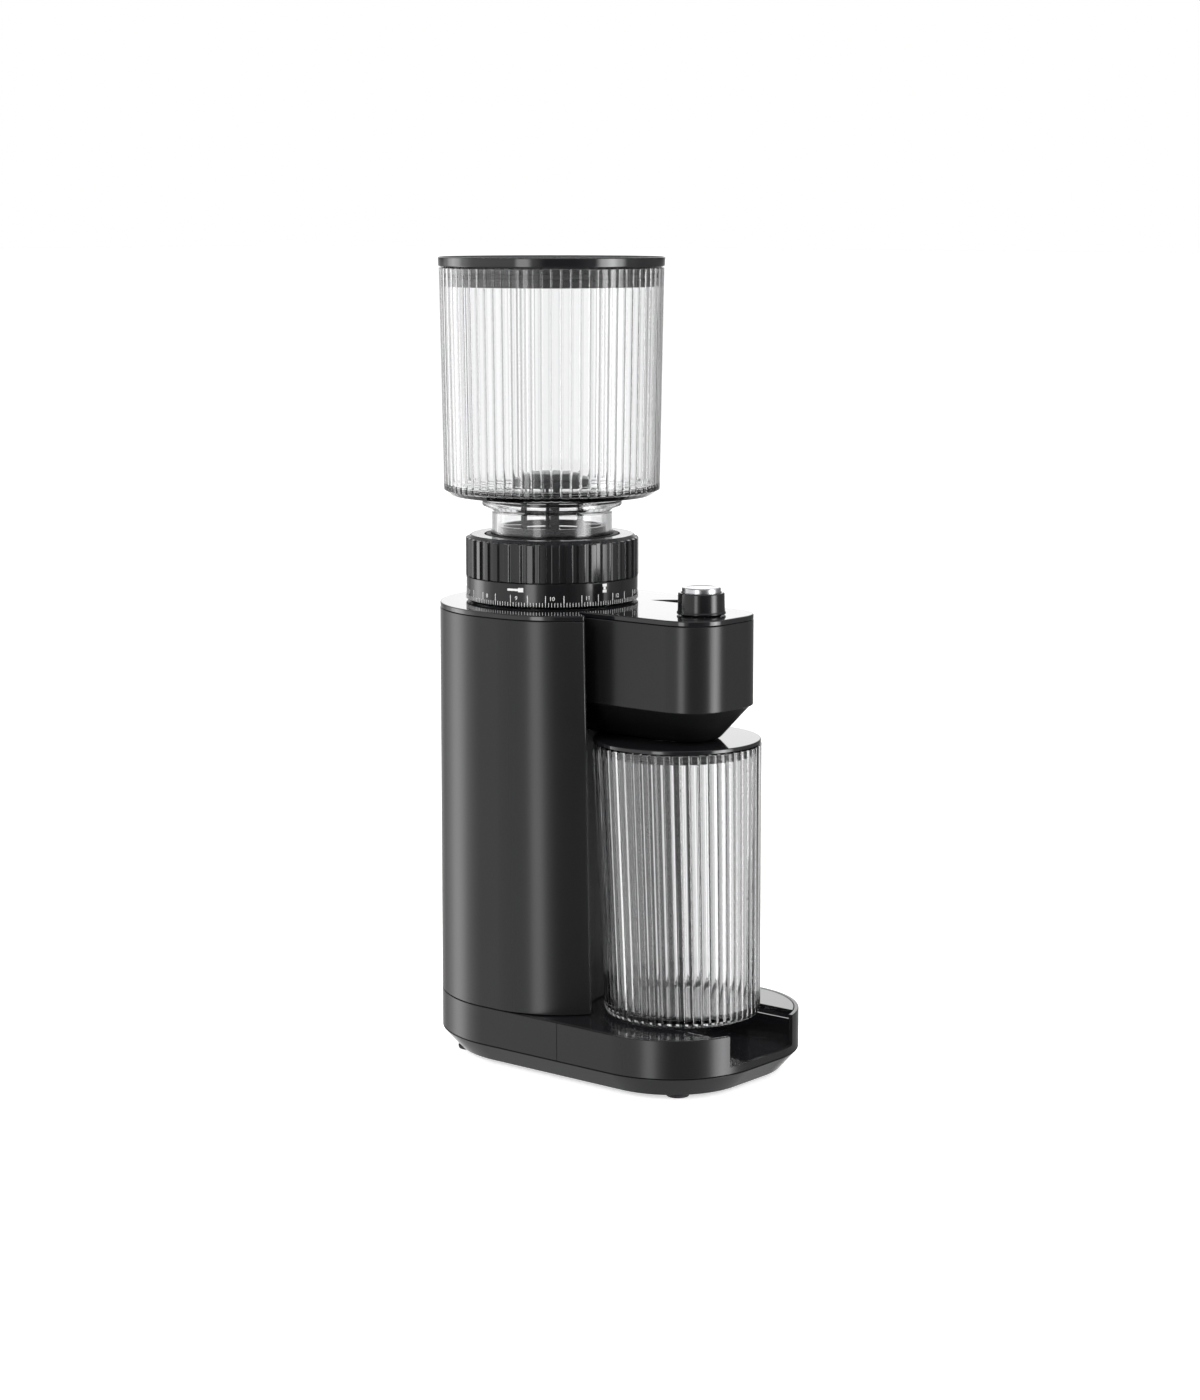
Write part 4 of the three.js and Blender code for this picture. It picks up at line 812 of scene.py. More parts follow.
@dataclass
class Tower:
    """Column with its round recess, the plate on top, the head in front and the chin under it."""

    depth: float = 122.5  # of the column, front to back
    column_corner: float = 50.5
    recess_radius: float = 47.2
    tip_radius: float = 1.4
    head_half: float = 29.4
    head_corner: float = 21.9
    chin_inset: float = 1.2
    chin_tip_half: float = 15.0
    chin_tip_corner: float = 12.0
    chin_tip_reach: float = 21.5  # from the spout's axis to the tip's front
    chin_rows: int = 12  # rows of points down the chin's sides
    spout_bore: float = 9.0
    plate_thickness: float = 2.5
    neck_hole: float = 36.9
    shaft_hole: float = 3.6
    wall: float = 2.5
    edge: float = 0.5
    body: str = "base_and_column"

    def __post_init__(self) -> None:
        """Reads the places of column, plate, head and chin from the frame."""
        self.column = Extent.of("column_housing")
        self.plate = Extent.of("top_plate")
        self.head = Extent.of("head_shell")
        self.chin = Extent.of("head_chin")
        self.cup = Extent.of("container_body")
        self.spout_y = Extent.of("container_lid").middle[1]
        self.half = self.column.high[0]
        self.back_y = self.column.high[1]
        self.front_y = self.back_y - self.depth

    def recess_y(self, height: float) -> float:
        """y of the recess's axis: it leans forward evenly towards the container's bottom."""
        rise = (height - self.cup.low[2]) / (self.cup.high[2] - self.cup.low[2])
        return self.spout_y - CUP_LEAN * (1 - rise)

    def tip(self, inset: float, height: float) -> tuple:
        """Centres and radii of the column's corner, its rounded tip and the recess."""
        corner = np.array([self.half - self.column_corner, self.front_y + self.column_corner])
        hollow = np.array([0.0, self.recess_y(height)])
        tip_radius = max(self.tip_radius - inset, 0.25)
        corner_radius = self.column_corner - inset
        hollow_radius = self.recess_radius + inset
        tip = circles_meet(corner, corner_radius - tip_radius, hollow, hollow_radius + tip_radius)
        return corner, corner_radius, tip, tip_radius, hollow, hollow_radius

    def flank(self, inset: float, height: float) -> tuple:
        """Right half of the column's outline, from the back to the end of the rounded tip.

        Args:
            inset: how far the outline is drawn in.
            height: the height at which it is taken, because the recess leans.

        Returns:
            The points, the recess's centre and radius, and the angle at which the recess begins.
        """
        corner, corner_radius, tip, tip_radius, hollow, hollow_radius = self.tip(inset, height)
        out = math.atan2(*(tip - corner)[::-1])
        back = math.atan2(*(hollow - tip)[::-1])
        points = np.vstack([
            arc((0, self.back_y - self.half), self.half - inset, QUARTER, 0, 48),
            arc(corner, corner_radius, 0, out, 36),
            arc(tip, tip_radius, out, back, 8)[1:-1],
        ])
        return points, hollow, hollow_radius, back + math.pi

    def column_outline(self, inset: float, height: float) -> Array:
        """Plan of the column, with the recess in its front."""
        flank, hollow, radius, start = self.flank(inset, height)
        return mirrored(np.vstack([flank, arc(hollow, radius, start, QUARTER, 36)]))

    def nose(self, half: float, front: float, corner: float, inset: float) -> Array:
        """Right half of a rounded nose, from its straight side to the middle of its front."""
        half, radius = half - inset, max(corner - inset, 0.2)
        middle = (half - radius, front + inset + radius)
        return np.vstack([arc(middle, radius, 0, -QUARTER, 32), [(0, front + inset)]])

    def plate_outline(self, inset: float, height: float) -> Array:
        """Plan of the plate: the column's outline with the head's nose in front."""
        flank, hollow, radius, start = self.flank(inset, height)
        meet = math.acos((self.head_half - inset) / radius)
        nose = self.nose(self.head_half, self.head.low[1], self.head_corner, inset)
        return mirrored(np.vstack([flank, arc(hollow, radius, start, meet, 10), nose]))

    def head_outline(self, inset: float, height: float) -> Array:
        """Plan of the head: round behind, where it seats in the recess, and a rounded nose."""
        radius = self.recess_radius - GAP - inset
        hollow = (0, self.recess_y(height))
        meet = math.acos((self.head_half - inset) / radius)
        nose = self.nose(self.head_half, self.head.low[1], self.head_corner, inset)
        return mirrored(np.vstack([arc(hollow, radius, QUARTER, meet, 24), nose]))

    def chin_outline(self, inset: float, height: float) -> Array:
        """Plan of the chin: it narrows evenly from the head's outline down to the spout's tip."""
        down = np.clip((self.head.low[2] - height) / (self.head.low[2] - self.chin.low[2]), 0, 1)
        half = (self.head_half - self.chin_inset) * (1 - down) + self.chin_tip_half * down
        tip_front = self.spout_y - self.chin_tip_reach
        front = (self.head.low[1] + self.chin_inset) * (1 - down) + tip_front * down
        corner = (self.head_corner - self.chin_inset) * (1 - down) + self.chin_tip_corner * down
        radius = self.recess_radius - GAP - inset
        meet = math.acos((half - inset) / radius)
        nose = self.nose(half, front, corner, inset)
        return mirrored(np.vstack([arc((0, self.recess_y(height)), radius, QUARTER, meet, 24), nose]))

    def shell(self, name: str, outline: Outline, place: Extent, node: str) -> None:
        """An open-ended upright shell with rounded edges, as high as its node."""
        low, high, e = place.low[2], place.high[2], self.edge
        profile = rounded([(0, low, e), (0, high, e), (self.wall, high, 0.2), (self.wall, low, 0.2)])
        settle(grid_object(name, stacked(outline, profile)), self.body, CHARCOAL, node)

    def make_plate(self) -> None:
        """The plate, with a hole for the hopper's neck and one for the knob's shaft."""
        top = self.plate.high[2]
        low = top - self.plate_thickness
        rim = rounded([(1, low, 0), (0, low, 0.3), (0, top, 0.7), (1.5, top, 0)], closed=False)
        plate = grid_object("plate", stacked(self.plate_outline, rim), Ends.CAPPED)
        for over, radius in (("hopper_lid", self.neck_hole), ("control_knob", self.shaft_hole)):
            plate = carved(plate, drill(radius, top - 20, top + 9, Extent.of(over).middle[1], 96))
        settle(plate, self.body, GLOSS, "top_plate")

    def make_chin(self) -> None:
        """The chin: rounded edges below and above, straight rows between them, and the spout's bore."""
        low, high = self.chin.low[2], self.head.low[2] - GAP / 2
        edges = rounded([(6, low, 0), (0, low, 1.2), (0, high, 0.2), (3, high, 0)], closed=False, steps=5)
        foot, crest = low + 2, high - 1
        sides = np.zeros((self.chin_rows, 3))
        sides[:, 1] = np.linspace(foot, crest, self.chin_rows)
        profile = np.vstack([edges[edges[:, 1] < foot], sides, edges[edges[:, 1] > crest]])
        chin = grid_object("chin", stacked(self.chin_outline, profile), Ends.CAPPED)
        chin = carved(chin, drill(self.spout_bore, low - 5, high + 5, self.spout_y, 64))
        settle(chin, self.body, BLACK, "head_chin")

    def build(self) -> None:
        """Makes column, head, plate and chin."""
        self.shell("column", self.column_outline, self.column, "column_housing")
        self.shell("head", self.head_outline, self.head, "head_shell")
        self.make_plate()
        self.make_chin()


# ---- Adjustment ring and its scale ---------------------------------------------------------------


@dataclass
class AdjustmentRing:
    """Ribbed grip over a plain band with printed marks."""

    ribs: int = 42
    rib_depth: float = 1.2
    groove: float = 0.36  # share of a rib's pitch that its groove takes
    flank: float = 0.12  # share that each flank takes
    samples: int = 20  # columns in each rib
    chamfer: float = 1.6
    bore: float = 34.8
    sleeve: float = 38.3
    roof: float = 1.9
    scale_wall: float = 3.0
    steps: int = 30
    strokes: int = 6  # fine strokes in each step
    stroke: tuple = (2.1, 0.25)  # height and width of a fine stroke
    step_stroke: tuple = (3.6, 0.32)  # the same of the longer one at each step
    number_size: float = 2.9
    number_rise: float = 4.1  # heights above the strokes' foot
    coarse_rise: float = 7.3
    fine_rise: float = 6.4
    sign_sets: int = 3  # pairs of signs round the band
    chord: float = 0.7  # widest straight piece of a stroke
    print_height: float = 0.06
    sunk: float = 0.02  # how deep the print starts inside the band
    coarse_bearing: float = 195.0
    fine_bearing: float = 257.0
    coarse_sign: tuple = ((-1.0, 0.5, 1.1, 6.0), (3.4, 0.0, 2.1, 2.8))
    fine_sign: tuple = ((0.0, 0.0, 1.4, 2.4), (0.0, 1.5, 1.4, 1.3), (0.0, 3.0, 1.4, 2.6))
    body: str = "ring"

    def __post_init__(self) -> None:
        """Reads the places of grip and band from the frame."""
        self.grip = Extent.of("adjustment_ring")
        self.scale = Extent.of("dial_scale")
        self.axis_y = Extent.of("hopper_lid").middle[1]
        self.radius = self.grip.high[0]

    def rib(self, angle: Array) -> Array:
        """Depth below the crest: flat grooves whose flanks rise as a smooth step, 3t^2 - 2t^3."""
        across = np.abs(np.mod(self.ribs * angle / (2 * math.pi), 1.0) - 0.5)
        rise = np.clip((across - self.groove / 2) / self.flank, 0, 1)
        return self.rib_depth * (1 - rise**2 * (3 - 2 * rise))

    def make_grip(self) -> None:
        """The ribbed grip, its chamfered top and the sleeve inside."""
        top, low = self.grip.high[2], self.scale.high[2] + GAP
        r = self.radius
        valley, inner, foot = r - self.rib_depth, r - self.scale_wall - GAP, self.grip.low[2]
        profile = [
            (self.bore, top, 0.3, 0), (valley - self.chamfer, top, 0.4, 0),
            (valley, top - self.chamfer, 0.2, 0), (r, top - self.chamfer - GAP, 0.4, 1),
            (r, low, 0.3, 1), (valley - 1.5, low, 0, 0), (inner, low, 0, 0),
            (inner, foot, 0.2, 0), (self.sleeve, foot, 0.2, 0),
            (self.sleeve, top - self.roof, 0.1, 0), (self.bore, top - self.roof, 0.2, 0),
        ]
        grip = lathed("grip", profile, self.axis_y, self.ribs * self.samples, ripple=self.rib)
        settle(grip, self.body, RING_BLACK, "adjustment_ring")

    def make_band(self) -> None:
        """The plain band that carries the marks, with a bevel at its foot."""
        low, high, r = self.scale.low[2], self.scale.high[2], self.scale.high[0]
        inner = r - self.scale_wall
        profile = [(inner, low, 0.2), (r - 0.5, low, 0.3), (r, low + 0.7, 0.2), (r, high, 0.3),
                   (inner, high, 0.2)]
        settle(lathed("scale_band", profile, self.axis_y, 240), self.body, SCALE_BLACK, "dial_scale")

    def wrap(self, flat: Array, angle: float, height: float) -> Array:
        """Puts flat points on the band: x runs round it, y runs up and z stands out from it."""
        turn = angle + flat[:, 0] / self.scale.high[0]
        radius = self.scale.high[0] - self.sunk + flat[:, 2]
        return np.column_stack([radius * np.cos(turn), self.axis_y + radius * np.sin(turn),
                                height + flat[:, 1]])

    def tick(self, angle: float, low: float, tall: float, wide: float) -> tuple:
        """Points and faces of one printed stroke."""
        pieces = max(1, round(wide / self.chord))
        x = np.repeat(np.linspace(-wide / 2, wide / 2, pieces + 1), 4)
        y = np.tile([0, tall, tall, 0], pieces + 1)
        z = np.tile([0, 0, self.print_height, self.print_height], pieces + 1)
        sides = grid_quads(pieces + 1, 4, False).tolist()
        ends = [(0, 1, 2, 3), tuple(4 * pieces + i for i in (3, 2, 1, 0))]
        return self.wrap(np.column_stack([x, y, z]), angle, low), [tuple(f) for f in sides] + ends

    def label(self, text: str, angle: float, height: float) -> tuple:
        """Points and faces of a printed number."""
        curve = bpy.data.curves.new("label", "FONT")
        curve.body, curve.size, curve.extrude = text, self.number_size, self.print_height / 2
        curve.align_x, curve.align_y = "CENTER", "CENTER"
        curve.resolution_u = 3
        holder = new_object("label", curve)
        graph = bpy.context.evaluated_depsgraph_get()
        mesh = bpy.data.meshes.new_from_object(holder.evaluated_get(graph))
        flat = np.array([v.co for v in mesh.vertices]) + (0, 0, self.print_height / 2)
        faces = [tuple(p.vertices) for p in mesh.polygons]
        bpy.data.objects.remove(holder)
        return self.wrap(flat, angle, height), faces

    def icon(self, angle: float, height: float, bars: Sequence[tuple]) -> list:
        """A small plain sign put together from upright bars, given as (place, low, tall, wide)."""
        return [self.tick(angle + place / self.radius, height + low, tall, wide)
                for place, low, tall, wide in bars]

    def make_marks(self) -> None:
        """Fine strokes along the foot, longer ones at the steps, plain numbers and two plain signs."""
        low = self.scale.low[2] + 0.5
        step = 2 * math.pi / self.steps
        marks = [self.tick(number * step / self.strokes, low, *self.stroke)
                 for number in range(self.strokes * self.steps)]
        for number in range(self.steps):
            marks.append(self.tick(number * step, low + self.stroke[0], *self.step_stroke))
        for number in range(0, self.steps, 2):
            text = str(number // 2 + 1)
            marks.append(self.label(text, (number + 0.35) * step, low + self.number_rise))
        signs = ((self.coarse_bearing, self.coarse_rise, self.coarse_sign),
                 (self.fine_bearing, self.fine_rise, self.fine_sign))
        for turn in range(self.sign_sets):
            for bearing, rise, bars in signs:
                angle = math.radians(bearing) + turn * 2 * math.pi / self.sign_sets
                marks += self.icon(angle, low + rise, bars)
        points, faces, start = [], [], 0
        for some, corners in marks:
            points.append(some)
            faces += [tuple(start + c for c in face) for face in corners]
            start += len(some)
        mesh = bpy.data.meshes.new("scale_marks")
        mesh.from_pydata((np.vstack(points) * MM).tolist(), [], faces)
        clean(mesh)
        settle(new_object("scale_marks", mesh), self.body, PRINT)

    def build(self) -> None:
        """Makes grip, band and marks."""
        self.make_grip()
        self.make_band()
        self.make_marks()


# ---- Hopper --------------------------------------------------------------------------------------


@dataclass(frozen=True)
class Reeds:
    """Upright ribs moulded into the outside of a clear wall."""

    count: int
    depth: float
    power: float  # near 1 gives pleats with almost flat sides, more gives broad ribs and thin grooves
    samples: int = 14  # columns in each reed

    @property
    def segments(self) -> int:
        """Columns of points round the wall."""
        return self.count * self.samples

    def ripple(self, angle: Array) -> Array:
        """Depth below the crests: depth * |2u|^power, with u from -0.5 to 0.5 across a reed."""
        across = np.mod(angle * self.count / (2 * math.pi), 1.0) - 0.5
        return self.depth * np.abs(2 * across) ** self.power


def seal_ring(name: str, place: Extent, inner: float, axis_y: float, corner: float, bead: float,
              segments: int) -> bpy.types.Object:
    """A soft ring that sits in a lid's groove and presses outwards on the cup.

    Args:
        name: the piece's name.
        place: the seal's box in the frame.
        inner: radius of its inside.
        axis_y: y of its axis.
        corner: rounding of its inner edges.
        bead: rounding of its outer edges.
        segments: columns round the axis.

    Returns:
        The new object.
    """
    low, high, outer = place.low[2], place.high[2], place.high[0]
    return lathed(name, [(inner, low, corner), (outer, low, bead), (outer, high, bead),
                         (inner, high, corner)], axis_y, segments)


@dataclass
class Hopper:
    """Clear reeded cup on a stepped neck, with its guard, lid and seal."""

    reeds: Reeds = Reeds(72, 0.35, 6.0)
    wall: float = 1.6
    bottom_radius: float = 55.5
    neck_outer: float = 31.2
    neck_inner: float = 28.0
    flange: float = 36.0
    flange_foot: float = 19.4  # heights above the neck's end
    flange_top: float = 23.6
    wall_foot: float = 28.6
    dome_radius: float = 20.0
    dome_height: float = 8.0
    dome_wall: float = 1.5
    dome_rise: float = 4.0  # the guard's dome stands this much above its plain solid
    guard_ring: tuple = (25.0, 27.7, 3.0)  # inner and outer radius, and height
    legs: tuple = (13.0, 16.0, 26.5)  # radii where a leg starts, its post ends and its foot ends
    leg_width: float = 4.5
    plug: float = 54.1  # radius of the lid's plug
    plug_wall: float = 3.9
    lid_plate: float = 2.5
    groove: float = 1.4
    body: str = "hopper"

    def __post_init__(self) -> None:
        """Reads the places of the cup and what goes with it from the frame."""
        self.cup = Extent.of("hopper_body")
        self.lid = Extent.of("hopper_lid")
        self.seal = Extent.of("hopper_lid_seal")
        self.guard = Extent.of("hopper_guard")
        self.socket = Extent.of("hopper_socket")
        self.axis_y = self.lid.middle[1]

    def make_cup(self) -> None:
        """The cup: one closed profile, reeded on the outside of its wall only."""
        low, top = self.cup.low[2], self.cup.high[2]
        flange_low, flange_high = low + self.flange_foot, low + self.flange_top
        wall_low = low + self.wall_foot
        outer_low, outer_high = self.bottom_radius, self.cup.high[0]
        thick = self.reeds.depth + self.wall
        inner_low, inner_high = outer_low - thick, outer_high - thick
        profile = [
            (self.neck_inner, low, 0.5), (self.neck_outer, low, 0.6),
            (self.neck_outer, flange_low - 2, 1.5), (self.flange, flange_low + 1, 1.0),
            (self.flange, flange_high, 0.8), (self.flange + 3, flange_high + 1, 1.0),
            (outer_low - 4, wall_low - 3, 1.0, 0), (outer_low, wall_low, 0.8, 1),
            (outer_high, top - 0.4, 0.3, 1), (outer_high - 1.4, top, 0.2, 0),
            (inner_high, top, 0.4), (inner_low, wall_low + 1, 3.0),
            (self.neck_inner + 4, flange_high + 3.2, 2.0), (self.neck_inner, flange_high - 2, 2.0),
        ]
        cup = lathed("hopper_cup", profile, self.axis_y, self.reeds.segments, steps=5,
                     ripple=self.reeds.ripple)
        settle(cup, self.body, CLEAR, "hopper_body")

    def leg_plan(self, bearing: float, near: float, far: float) -> Array:
        """Plan of a leg of the guard: a bar between two radii, turned to its bearing."""
        half = self.leg_width / 2
        corners = np.array([(near, -half), (far, -half), (far, half), (near, half)])
        cosine, sine = math.cos(bearing), math.sin(bearing)
        return corners @ np.array([[cosine, sine], [-sine, cosine]]) + (0, self.axis_y)

    def make_guard(self) -> None:
        """Finger guard: dome, foot ring and four legs."""
        low, top = self.guard.low[2], self.guard.high[2] + self.dome_rise
        skirt, r = top - self.dome_height, self.dome_radius
        within = r - self.dome_wall
        guard = lathed("finger_guard", [
            (0, top - 2, 0), (12, top - 3.5, 3), (within, skirt + 3, 2), (within, skirt, 0.2),
            (r, skirt, 0.4), (r, skirt + 3.5, 3), (12.4, top - 1.3, 6), (0, top, 0),
        ], self.axis_y, 96, closed=False)
        inner, outer, tall = self.guard_ring
        foot_top = low + tall
        ring = lathed("ring", [(inner, low, 0.3), (outer, low, 0.3), (outer, foot_top, 0.4),
                               (inner, foot_top, 0.4)], self.axis_y, 96)
        guard = carved(guard, ring, "UNION")
        near, post_end, foot_end = self.legs
        for leg in range(4):
            for far, high in ((post_end, top - 4), (foot_end, foot_top)):
                plan = self.leg_plan(math.pi / 4 + leg * QUARTER, near, far)
                post = prism("leg", lambda inset, height, plan=plan: plan, low, high)
                guard = carved(guard, post, "UNION")
        settle(guard, self.body, KNOB_BLACK, "hopper_guard")

    def make_lid(self) -> None:
        """The lid: a slightly crowned disc over a plug ring, and the seal in its groove."""
        plate_low = self.cup.high[2] + GAP
        top, r = self.lid.high[2], self.lid.high[0]
        deep, under = self.lid.low[2], top - self.lid_plate
        plug, hollow, cut = self.plug, self.plug - self.plug_wall, self.plug - self.groove
        groove_low, groove_high = self.seal.low[2] - GAP, self.seal.high[2] + GAP
        lid = lathed("lid", [
            (0, under, 0), (hollow, under, 1.0), (hollow, deep, 0.5), (plug, deep, 0.5),
            (plug, groove_low, 0.2), (cut, groove_low, 0.1), (cut, groove_high, 0.1),
            (plug, groove_high, 0.2), (plug, plate_low, 0.3), (r, plate_low, 0.8), (r, top - 0.25, 0.7),
            (r - 30, top, 20.0), (0, top, 0),
        ], self.axis_y, 240, closed=False, steps=6)
        settle(lid, "hopper_cover", GLOSS, "hopper_lid")
        seal = seal_ring("lid_seal", self.seal, cut + GAP, self.axis_y, 0.4, 1.0, 180)
        settle(seal, "hopper_cover", RUBBER, "hopper_lid_seal")

    def make_socket(self) -> None:
        """Dark seat ring round the neck's end."""
        low, high, r = self.socket.low[2], self.socket.high[2], self.socket.high[0]
        inner = self.neck_outer + GAP
        seat = lathed("neck_seat", [(inner, low, 0.2), (r, low, 0.2), (r, high, 0.8), (inner, high, 0.5)],
                      self.axis_y, 180)
        settle(seat, "upper_burr", BLACK, "hopper_socket")

    def build(self) -> None:
        """Makes cup, guard, lid, seal and seat."""
        self.make_cup()
        self.make_guard()
        self.make_lid()
        self.make_socket()


# ---- Knob ----------------------------------------------------------------------------------------


@dataclass
class Knob:
    """Black turning knob with a bright push button in it, and the spring under the button."""

    button_radius: float = 9.7
    cap_depth: float = 3.4
    cap_wall: float = 1.2
    cap_rim: float = 2.7  # from the cap's outside to the hollow under it
    stem: float = 2.0
    well_depth: float = 5.1  # below the button's top
    well_wall: float = 1.8
    shaft: float = 3.3
    socket: float = 5.5
    skin: float = 2.4
    press: float = 1.4  # travel of the button
    coil_radius: float = 6.0
    wire: float = 0.5
    turns: float = 2.5
    coil_steps: int = 120
    wire_sides: int = 10
    body: str = "knob"

    def __post_init__(self) -> None:
        """Reads the places of knob and button from the frame."""
        self.knob = Extent.of("control_knob")
        self.button = Extent.of("knob_button")
        self.spring = Extent.of("button_spring")
        self.axis_y = self.knob.middle[1]

    def make_spring(self) -> None:
        """The coil spring in the knob's well.

        A point is (r cos a, axis_y + r sin a, z), where a and z climb evenly along the coil, and r and
        z carry the wire's round section: wire / 2 * cos b outwards and wire / 2 * sin b upwards.
        """
        low, high = self.spring.low[2], self.spring.high[2]
        along = np.linspace(0, 1, self.coil_steps + 1)[:, None]
        section = np.linspace(0, 2 * math.pi, self.wire_sides, endpoint=False)[None, :]
        turn = 2 * math.pi * self.turns * along
        radius = self.coil_radius + self.wire / 2 * np.cos(section)
        climb = low + self.wire / 2 + (high - low - self.wire) * along
        grid = np.stack([radius * np.cos(turn), self.axis_y + radius * np.sin(turn),
                         climb + self.wire / 2 * np.sin(section)], axis=2)
        coil = grid_object("cap_spring", grid, Ends.CAPPED)
        settle(coil, self.body, STEEL, "button_spring")
        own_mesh(coil)

    def make_knob(self) -> None:
        """The knob: its skin, the socket on the shaft and the well for the button."""
        low, top, r = self.knob.low[2], self.knob.high[2], self.knob.high[0]
        well, floor = self.button_radius + GAP, self.button.high[2] - self.well_depth
        under, inside = floor - self.well_wall, r - self.skin
        knob = lathed("knob", [
            (self.shaft, low + 4, 0.2), (self.shaft, low, 0.2), (self.socket, low, 0.2),
            (self.socket, under, 0.2), (inside, under, 0.2), (inside, low, 0.2), (r, low, 0.3),
            (r, low + 0.8, 0.3), (r - 0.4, low + 1.4, 0.3), (r - 0.6, top, 0.9), (well, top, 0.25),
            (well, floor, 0.3), (self.shaft, floor, 0.2),
        ], self.axis_y, 120)
        settle(knob, self.body, KNOB_BLACK, "control_knob")

    def make_button(self) -> None:
        """The button: a dished cap with a rim, and a stem under it."""
        high, foot, r = self.button.high[2], self.button.low[2], self.button_radius
        low, under = high - self.cap_depth, high - self.cap_wall
        hollow = r - self.cap_rim
        button = lathed("push_cap", [
            (0, foot, 0), (self.stem, foot, 0.3), (self.stem, under, 0.2), (hollow, under, 0.2),
            (hollow, low, 0.2), (r, low, 0.2), (r, high, 0.7), (r - 2.2, high, 0.6),
            (r - 2.8, high - 0.25, 0.6), (0, high - 0.35, 0),
        ], self.axis_y, 120, closed=False)
        settle(button, "button", SILVER, "knob_button")

    def build(self) -> None:
        """Makes spring, knob and button."""
        self.make_spring()
        self.make_knob()
        self.make_button()


# ---- Grounds container ---------------------------------------------------------------------------


@dataclass
class Container:
    """Clear reeded cup that leans with the recess, its lid and its seal."""

    reeds: Reeds = Reeds(54, 0.6, 3.0)
    wall: float = 1.8
    floor: float = 3.0
    lid_hole: float = 12.0
    plug_play: float = 3.8  # from the cup's outside to the lid's plug
    plug_wall: float = 3.5
    groove: float = 1.4
    body: str = "container"

    def __post_init__(self) -> None:
        """Reads the places of cup, lid and seal from the frame."""
        self.cup = Extent.of("container_body")
        self.lid = Extent.of("container_lid")
        self.seal = Extent.of("container_lid_seal")
        self.axis_y = self.lid.middle[1]

    def make_cup(self) -> None:
        """The cup: a closed profile about a leaning axis, reeded on its outside."""
        low, top = self.cup.low[2], self.cup.high[2]
        outer_low, outer_high = CUP_FOOT, self.cup.high[0]
        thick = self.reeds.depth + self.wall
        profile = rounded([
            (0, low + 1.2, 0), (outer_low - 4.5, low + 1.2, 0.6), (outer_low - 5.5, low, 0.4),
            (outer_low - 1.0, low, 0.8, 0), (outer_low, low + 2.2, 0.8, 1),
            (outer_high, top - 0.4, 0.3, 1), (outer_high - 1.4, top, 0.3, 0),
            (outer_high - thick, top, 0.4), (outer_low - thick, low + self.floor, 3.0),
            (0, low + self.floor, 0),
        ], closed=False, steps=5)
        rise = (profile[:, 1] - low) / (top - low)
        axis = self.axis_y - CUP_LEAN * (1 - rise)
        grid = turned(profile, axis, self.reeds.segments, self.reeds.ripple)
        settle(grid_object("grounds_cup", grid, Ends.OPEN), self.body, CLEAR, "container_body")

    def make_lid(self) -> None:
        """The lid with the hole under the spout, and the seal in its groove."""
        low, high, r = self.cup.high[2] + GAP, self.lid.high[2], self.lid.high[0]
        deep = self.lid.low[2]
        plug = self.cup.high[0] - self.plug_play
        hollow, cut = plug - self.plug_wall, plug - self.groove
        groove_low, groove_high = self.seal.low[2] - GAP, self.seal.high[2] + GAP
        lid = lathed("cup_lid", [
            (self.lid_hole, low, 0.3), (hollow, low, 0.3), (hollow, deep, 0.4), (plug, deep, 0.4),
            (plug, groove_low, 0.1), (cut, groove_low, 0.1), (cut, groove_high, 0.1),
            (plug, groove_high, 0.1), (plug, low, 0.2), (r, low, 0.3), (r, high, 0.6),
            (self.lid_hole, high, 0.4),
        ], self.axis_y, 180)
        settle(lid, self.body, GLOSS, "container_lid")
        seal = seal_ring("cup_seal", self.seal, cut + GAP, self.axis_y, 0.3, 0.8, 150)
        settle(seal, self.body, RUBBER, "container_lid_seal")

    def build(self) -> None:
        """Makes cup, lid and seal."""
        self.make_cup()
        self.make_lid()


# ---- Mechanism -----------------------------------------------------------------------------------


@dataclass(frozen=True)
class Mechanism:
    """The inner pieces, which keep their CAD shape and get their finishes."""

    looks: tuple = (
        (STEEL, ("base_screw_1", "base_screw_2", "base_screw_3", "base_screw_4", "encoder_shaft",
                 "chassis_plate", "motor_shelf", "lower_bearing", "upper_bearing",
                 "motor_can", "motor_shaft", "motor_pinion", "burr_spindle", "cone_burr", "burr_screw",
                 "outer_burr")),
        (ALLOY, ("gearbox_base", "gearbox_cover", "grinding_chamber")),
        (BLACK, ("grounds_chute", "encoder_body", "motor_end_bell", "motor_fan", "sweeper",
                 "burr_carrier")),
        (COPPER, ("motor_armature",)),
        (MAGNET, ("motor_magnet_right", "motor_magnet_left")),
        (NYLON, ("drive_gear",)),
        (BOARD, ("control_board", "power_board")),
    )

    def build(self) -> None:
        """Dresses each inner piece."""
        for look, nodes in self.looks:
            for node in nodes:
                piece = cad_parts[node]
                if piece.material_slots:
                    piece.material_slots[0].material = look.material()
                else:
                    piece.data.materials.append(look.material())
                LOG.info("%s in %s", node, look.name)


# ---- Studio --------------------------------------------------------------------------------------


@dataclass(frozen=True)
class Panel:
    """One upright panel of the surround: where it stands and how bright it looks in a reflection."""

    bearing: float  # degrees round Z, counted from +X
    brightness: float


@dataclass(frozen=True)
class Lamp:
    """A square soft lamp that points at the object's middle."""

    name: str
    bearing: float  # degrees round Z from +X
    elevation: float  # degrees above the table
    distance: float  # metres from the middle
    size: float  # edge length in metres
    power: float  # watts


